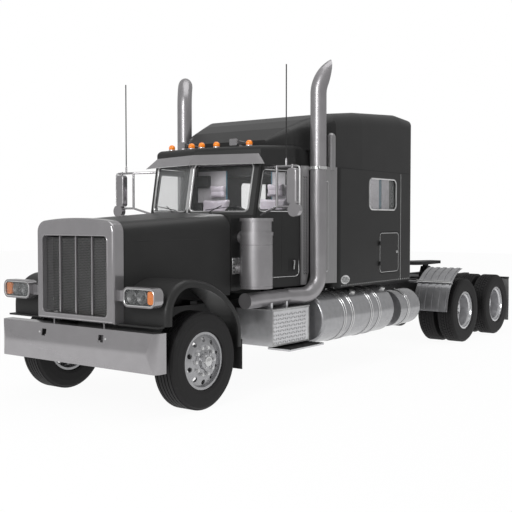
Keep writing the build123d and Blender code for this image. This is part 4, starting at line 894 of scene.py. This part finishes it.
marker_lens = prism(ellipse(MARKER_PLACE, 0.078, 0.034), facing_left, SLEEPER_X + 0.001, SLEEPER_X + 0.010)
pair("sleeper_markers", [marker_lens], CLEAR)
luggage_outline = rounded(rectangle((3.796, 1.256), (4.334, 1.799)), 0.050)
for side_name, side in SIDES:
    trim = [loop(luggage_outline, facing_left, SLEEPER_X + 0.001, 0.004),
            lathe(LATCH, (SLEEPER_X, at(4.290), 1.530), LEFT, 20)]
    door = f"luggage_door_{side_name}"
    piece(f"luggage_trim_{side_name}", on_side(trim, side), TRIM, door)

# Tanks: bright strap edges with T-bolts, and filler caps

# Each tank's place across and up, its radius, and where its straps and filler caps are
TANKS = ((0.868, 0.735, 0.328, (2.730, 2.920, 3.420, 3.640), (3.180, 4.000)),
         (0.860, 0.690, 0.262, (4.640,), ()))
STRAP_EDGES = (0.006, 0.054)
CAP_AIM = Vector((0.5, 0, 0.866))
FILLER_CAP = [(-0.010, 0.052), (0.006, 0.052), (0.008, 0.046), (0.030, 0.046), (0.034, 0.040), (0.034, 0.0)]
strap_parts = []
strap_bolts = []
for x, z, radius, straps, caps in TANKS:
    low = radius + 0.0045
    high = radius + 0.0085
    ring = [(-0.006, low), (-0.004, high), (0.004, high), (0.006, low)]
    for strap in straps:
        strap_parts += [lathe(ring, (x, at(strap + edge), z), REARWARD, 72) for edge in STRAP_EDGES]
        strap_bolts.append(((x, at(strap + 0.030), z + radius + 0.012), UP, 0.0))
    for cap in caps:
        strap_parts.append(lathe(FILLER_CAP, Vector((x, at(cap), z)) + CAP_AIM * radius, CAP_AIM, 32))
strap_parts.append(scatter(SLABS, strap_bolts, TRIM, Width=0.060, Length=0.022, Depth=0.022))
pair("tank_straps", strap_parts, TRIM)

# Step boxes: diamond plate in flanged frames, and a dark serrated tread

STEP_FRONT = at(1.312)
STEP_REAR = at(2.085)
STEP_BOTTOM = 0.500
STEP_TOP = 0.930
STEP_IN = 0.560
STEP_OUT = 1.080
STEP_LIP = 0.012
DIAMOND_PITCH = 0.046
DIAMOND_SLANT = 0.785


def diamond_rows(low, high, place, aim, flat):
    """Raised oval marks that alternate between two slants over a flat face."""
    spots = []
    for i in range(int((high[0] - low[0] - 0.05) / DIAMOND_PITCH)):
        for j in range(int((high[1] - low[1] - 0.05) / DIAMOND_PITCH)):
            u = low[0] + 0.038 + i * DIAMOND_PITCH
            v = low[1] + 0.038 + j * DIAMOND_PITCH
            spots.append((place(u, v, flat), aim, DIAMOND_SLANT if (i + j) % 2 else -DIAMOND_SLANT))
    return scatter(DOMES, spots, MESH, Length=0.046, Width=0.012, Depth=0.007)


def from_side(u, v, w):
    """A point by its place along the truck, its height and its place across."""
    return (w, u, v)


def from_top(u, v, w):
    """A point by its place along the truck, its place across and its height."""
    return (v, u, w)


step_marks = [diamond_rows((STEP_FRONT, STEP_BOTTOM), (STEP_REAR, STEP_TOP), from_side, LEFT, STEP_OUT),
              diamond_rows((STEP_FRONT, STEP_IN), (STEP_REAR, STEP_OUT), from_top, UP, STEP_TOP)]
pair("step_marks", step_marks, MESH)
flange = rounded(rectangle((STEP_FRONT + STEP_LIP, STEP_BOTTOM + STEP_LIP),
                           (STEP_REAR - STEP_LIP, STEP_TOP - STEP_LIP)), 0.010)
step_parts = [loop(flange, from_side, STEP_OUT, 0.009),
              block((STEP_IN, at(1.306), 0.926), (1.086, at(1.318), 0.936), 0.003),
              block((1.076, at(1.306), 0.922), (1.088, at(2.090), 0.937), 0.003)]
pair("step_plates", step_parts, PLATE)
teeth = [((0.935 + 0.053 * j, at(1.486 + 0.0308 * k), 0.4625), UP, 0.0)
         for k in range(24) for j in range(6)]
pair("step_treads", [scatter(SLABS, teeth, SEAL, Width=0.040, Length=0.014, Depth=0.010)], SEAL)

# Quarter fenders: a bright tube across the front of each

fender_tube = [(x, at(5.960), 1.001) for x in (0.602, 1.203)]
pair("fender_tubes", [tube(fender_tube, 0.018, sides=16)], TRIM)

# Rear: flaps on their hangers, tail lamps, and bolts along the frame

FLAP_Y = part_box("mud_flaps")[1].y - 0.050
FLAP_TOP = 0.942
FLAP_DROP = 0.760
FLAP_HALF = 0.005
FLAP_STEPS = 14
HANGER_Z = 0.945
RAIL_X = 0.432
LAMP_CAN = [(0.0, 0.0), (0.0, 0.030), (0.046, 0.030), (0.046, 0.0)]
TAIL_LENS = [(0.030, 0.0315), (0.046, 0.0315), (0.055, 0.026), (0.0595, 0.014), (0.060, 0.0)]


def tail_rounds(profile):
    """A turned shape at each tail lamp on the left."""
    return [lathe(profile, (x, FLAP_Y - 0.010, HANGER_Z), REARWARD, 28) for x in (0.520, 0.590)]


def flap_sheet():
    """One rubber flap, bowed back a little at its middle."""
    fall = [(FLAP_Y + 0.012 * sin(pi * k / FLAP_STEPS), FLAP_TOP - FLAP_DROP * k / FLAP_STEPS)
            for k in range(FLAP_STEPS + 1)]
    outline = [(y - FLAP_HALF, z) for y, z in fall] + [(y + FLAP_HALF, z) for y, z in reversed(fall)]
    return prism(outline, from_side, 0.623, 1.202)


hangers = [tube([(x, FLAP_Y, HANGER_Z) for x in (RAIL_X, 1.204)], 0.018, sides=16)]
pair("flap_hangers", hangers + tail_rounds(LAMP_CAN), CHASSIS, replaces=("mud_flaps",))
pair("flap_sheets", [flap_sheet()], FLAP)
pair("tail_lamps", tail_rounds(TAIL_LENS), RED)
frame_bolts = []
for k in range(38):
    y = 4.55 + 0.1 * k
    if abs((y % 1.32) - 0.66) > 0.12:
        frame_bolts += [((RAIL_X, at(y), z), LEFT, 0.0) for z in (0.800, 0.955)]
pair("frame_bolts", [scatter(BOLTS, frame_bolts, CHASSIS, Radius=0.013, Depth=0.022)], CHASSIS)

# Seats and bunk: padded pieces, swollen by a cloth simulation

PAD_PRESSURE = 4.0
PAD_FRAMES = 20
CHANNEL_DEPTH = 0.007
CHANNEL_WIDTH = 0.009
BACK_FOOT = 1.604
BOARD_TOP = 1.860


def inflated(mesh, voxel, cap):
    """A block turned into a padded form: remeshed, swollen by pressure, its movement capped."""
    made = linked("pad", mesh)
    remesh = made.modifiers.new("remesh", "REMESH")
    remesh.mode = "VOXEL"
    remesh.voxel_size = voxel
    start = evaluated(made)
    made.modifiers.clear()
    made.data = start
    cloth = made.modifiers.new("cloth", "CLOTH")
    cloth.settings.use_pressure = True
    cloth.settings.uniform_pressure_force = PAD_PRESSURE
    cloth.settings.effector_weights.gravity = 0.0
    cloth.settings.quality = 4
    for step in range(1, PAD_FRAMES + 1):
        scene.frame_set(step)
    swollen = evaluated(made)
    scene.frame_set(1)
    for old, new in zip(start.vertices, swollen.vertices):
        move = new.co - old.co
        if move.length > cap:
            new.co = old.co + move.normalized() * cap
    bpy.data.objects.remove(made)
    bpy.data.meshes.remove(start)
    return swollen


def kept_inside(mesh, low, high):
    """Hold a swollen form within its box, flat where it meets the box."""
    for vertex in mesh.vertices:
        vertex.co = [min(max(c, a), b) for c, a, b in zip(vertex.co, low, high)]


def sew(mesh, lines, along):
    """Press sewn channels into a form; lines are the channels' places on an axis."""
    for vertex in mesh.vertices:
        dip = sum(exp(-((vertex.co[along] - line) / CHANNEL_WIDTH) ** 2) for line in lines)
        vertex.co -= vertex.normal * dip * CHANNEL_DEPTH


def lean(mesh, foot, slope):
    """Lean an upright form back above a height."""
    for vertex in mesh.vertices:
        vertex.co.y += (vertex.co.z - foot) * slope


def pad(low, high, swell, voxel, lines, along):
    """A crowned pad that fills a box: a smaller block, inflated, held in the box and sewn."""
    inset = Vector((swell, swell, swell)) * 0.5
    start = block(Vector(low) + inset, Vector(high) - inset, swell, 3)
    made = inflated(start, voxel, swell)
    kept_inside(made, low, high)
    sew(made, lines, along)
    return made


def seat_pads():
    """The left seat's cushion, back and headrest as (name, shape) pairs."""
    cushion = pad((0.237, at(1.602), 1.482), (0.723, at(2.148), 1.620), 0.024, 0.008,
                  (0.340, 0.420, 0.540, 0.620), 0)
    back = pad((0.247, at(2.046), BACK_FOOT), (0.713, at(2.160), 2.278), 0.024, 0.008,
               (1.780, 1.930, 2.080), 2)
    lean(back, BACK_FOOT, 0.138)
    headrest = pad((0.352, at(2.172), 2.272), (0.608, at(2.253), 2.449), 0.018, 0.006, (2.360,), 2)
    return (("seat_cushion", cushion), ("seat_back", back), ("seat_headrest", headrest))


FLOOR_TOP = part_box("seats")[0].z
seat_base = block((0.302, at(1.692), FLOOR_TOP + 0.001), (0.658, at(2.058), 1.482), 0.020)
pair("seat_bases", [seat_base], DARK, replaces=("seats",))
for pad_name, shape in seat_pads():
    mirrored = other_side(shape)
    for side_name, form in (("left", shape), ("right", mirrored)):
        cover = piece(f"{pad_name}_{side_name}", [form], VINYL, "chassis", smooth=80)
BUNK_LOW, BUNK_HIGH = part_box("bunk")
boards = [block((BUNK_LOW.x, at(3.690), BUNK_LOW.z), (BUNK_HIGH.x, at(3.715), BOARD_TOP), 0.004),
          block((BUNK_LOW.x + 0.070, at(3.716), 1.835), (BUNK_HIGH.x - 0.070, BUNK_HIGH.y, BOARD_TOP), 0.004)]
piece("bunk_boards", boards, BOARD, "chassis", ("bunk",))
mattress = pad((BUNK_LOW.x + 0.090, at(3.702), BOARD_TOP), (BUNK_HIGH.x - 0.090, BUNK_HIGH.y - 0.020, 2.010),
               0.026, 0.014, (-0.60, -0.20, 0.20, 0.60), 0)
piece("mattress", [mattress], BEDDING, "chassis", smooth=80)

# Dashboard, panels beside the aisle, and lining seen through the glass

DASH_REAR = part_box("dashboard")[1].y
GAUGE = [(-0.004, 0.0), (0.001, 0.034), (0.006, 0.044), (0.006, 0.050), (0.0, 0.052)]
GAUGE_PLACES = ((0.400, 1.850), (0.520, 1.850), (0.620, 1.800), (0.300, 1.800))
gauges = [lathe(GAUGE, (x, DASH_REAR - 0.002, z), REARWARD, 28) for x, z in GAUGE_PLACES]
gauges += [block((x - 0.075, DASH_REAR - 0.004, 1.755), (x + 0.075, DASH_REAR + 0.005, 1.815), 0.003)
           for x in (-0.300, -0.520, 0.080)]
piece("dash_gauges", gauges, DARK, "chassis")
panels = [block((0.380, at(2.272), 1.260), (0.880, at(2.284), 2.640), 0.006)]
ceiling = block((-0.780, at(1.500), 2.704), (0.780, at(2.300), 2.712), 0.003)
rear_panel = block((-1.000, BUNK_HIGH.y - 0.014, 2.030), (1.000, BUNK_HIGH.y - 0.002, 2.620), 0.005)
piece("cab_lining", both(panels) + [ceiling, rear_panel], LINING, "chassis")
cabinets = [block((0.640, at(2.190), 2.420), (0.870, at(2.270), 2.580), 0.010),
            block((0.760, at(2.210), 2.080), (0.870, at(2.270), 2.220), 0.008)]
pair("cab_cabinets", cabinets, DARK)
accent = block((0.366, at(2.268), 1.260), (0.384, at(2.286), 2.640), 0.004)
pair("aisle_edges", [accent], BLUE)

# Camera, at the place and with the lens solved from the photograph

CAMERA_PLACE = (7.0233, -10.7465, 1.9751)
CAMERA_AZIMUTH = 0.6445
CAMERA_PITCH = 0.0406
CAMERA_LENS = 61.55

camera_data = bpy.data.cameras.new("camera")
camera_data.sensor_fit = "HORIZONTAL"
camera_data.sensor_width = 36
camera_data.lens = CAMERA_LENS
camera_data.clip_end = 200
camera = linked("camera", camera_data)
look = Vector((-sin(CAMERA_AZIMUTH) * cos(CAMERA_PITCH), cos(CAMERA_AZIMUTH) * cos(CAMERA_PITCH),
               -sin(CAMERA_PITCH)))
camera.location = CAMERA_PLACE
camera.rotation_mode = "QUATERNION"
camera.rotation_quaternion = look.to_track_quat("-Z", "Y")
scene.camera = camera

# Stage: a white floor that keeps a soft shadow, an even white surround, and soft lamps outside and inside

FLOOR_SIZE = 80.0
FLOOR_GLOW = 0.95
FLOOR_NEAR = 7.0
FLOOR_FAR = 10.0
SKY_SEEN_IN_METAL = 0.50
FRONT_SEEN_IN_METAL = 1.5
SKY_LIGHT = 0.62
# The direction in which metal mirrors the brighter part of the surround
KEY_SIDE = (0.24, -0.97, 0.0)


def stage_floor():
    """A large white floor: what the camera and metal see of it is nearly white, with a soft shadow."""
    material = bpy.data.materials.new("white_floor")
    material.use_nodes = True
    tree = material.node_tree
    tree.nodes.clear()
    ray = add(tree, "ShaderNodeLightPath").outputs
    spot = add(tree, "ShaderNodeNewGeometry").outputs["Position"]
    reach = add(tree, "ShaderNodeVectorMath", {0: spot}, operation="LENGTH").outputs["Value"]
    near = add(tree, "ShaderNodeMapRange", {"Value": reach, "From Min": FLOOR_NEAR, "From Max": FLOOR_FAR,
                                            "To Min": 1.0, "To Max": SKY_SEEN_IN_METAL})
    bright = add(tree, "ShaderNodeMix", {"Factor": ray["Is Glossy Ray"], 2: 1.0, 3: near}, data_type="FLOAT")
    seen = add(tree, "ShaderNodeMath", {0: ray["Is Camera Ray"], 1: ray["Is Glossy Ray"]}, operation="ADD")
    seen_all = add(tree, "ShaderNodeMath", {0: seen, 1: ray["Is Transmission Ray"]}, operation="ADD",
                   use_clamp=True)
    share = add(tree, "ShaderNodeMath", {0: seen_all, 1: FLOOR_GLOW}, operation="MULTIPLY")
    matt = add(tree, "ShaderNodeBsdfDiffuse", {"Color": linear("#f2f2f2")})
    glow = add(tree, "ShaderNodeEmission", {"Color": linear("#ffffff"), "Strength": bright})
    mixed = add(tree, "ShaderNodeMixShader", {"Fac": share, 1: matt, 2: glow})
    add(tree, "ShaderNodeOutputMaterial", {"Surface": mixed})
    half = FLOOR_SIZE / 2
    mesh = from_lists([(x, y, 0) for x, y in rectangle((-half, -half), (half, half))], [(0, 1, 2, 3)])
    mesh.materials.append(material)
    floor = linked("floor", mesh)


def stage_world():
    """White to the camera, grey with a bright front where metal mirrors it, even light elsewhere."""
    world = bpy.data.worlds.new("studio")
    scene.world = world
    world.use_nodes = True
    tree = world.node_tree
    tree.nodes.clear()
    ray = add(tree, "ShaderNodeLightPath").outputs
    place = add(tree, "ShaderNodeTexCoord").outputs["Generated"]
    ahead = add(tree, "ShaderNodeVectorMath", {0: place, 1: KEY_SIDE}, operation="DOT_PRODUCT")
    mirrored = add(tree, "ShaderNodeMapRange", {"Value": ahead.outputs["Value"], "From Min": 0.78,
                                                "To Min": SKY_SEEN_IN_METAL, "To Max": FRONT_SEEN_IN_METAL},
                   interpolation_type="SMOOTHSTEP")
    lit = add(tree, "ShaderNodeMix", {"Factor": ray["Is Glossy Ray"], 2: SKY_LIGHT, 3: mirrored},
              data_type="FLOAT")
    clear = add(tree, "ShaderNodeMath", {0: ray["Is Camera Ray"], 1: ray["Is Transmission Ray"]},
                operation="ADD", use_clamp=True)
    strength = add(tree, "ShaderNodeMix", {"Factor": clear, 2: lit, 3: 1.0}, data_type="FLOAT")
    sky = add(tree, "ShaderNodeBackground", {"Color": linear("#ffffff"), "Strength": strength})
    add(tree, "ShaderNodeOutputWorld", {"Surface": sky})


# Each lamp's name, place, aim, width, height and power
LAMPS = (("key_lamp", (3.0, -14.5, 6.5), (0.5, -2.0, 1.6), 2.6, 7.0, 700.0),
         ("top_lamp", (1.5, -1.0, 11.0), (0.0, 0.0, 1.0), 9.0, 9.0, 420.0),
         ("cab_lamp", (0.0, at(1.80), 2.69), (0.0, at(1.80), 1.50), 0.9, 0.5, 9.0),
         ("sleeper_lamp", (0.0, at(3.60), 3.10), (0.0, at(3.90), 1.50), 1.0, 0.8, 22.0))


def stage_lamps():
    """The soft lamps, each aimed at a point."""
    for name, place, aim, width, height, power in LAMPS:
        data = bpy.data.lights.new(name, "AREA")
        data.shape = "RECTANGLE"
        data.size = width
        data.size_y = height
        data.energy = power
        lamp = linked(name, data)
        lamp.location = place
        lamp.rotation_mode = "QUATERNION"
        lamp.rotation_quaternion = (Vector(aim) - Vector(place)).to_track_quat("-Z", "Y")


stage_floor()
stage_world()
stage_lamps()
scene.view_settings.view_transform = "Standard"
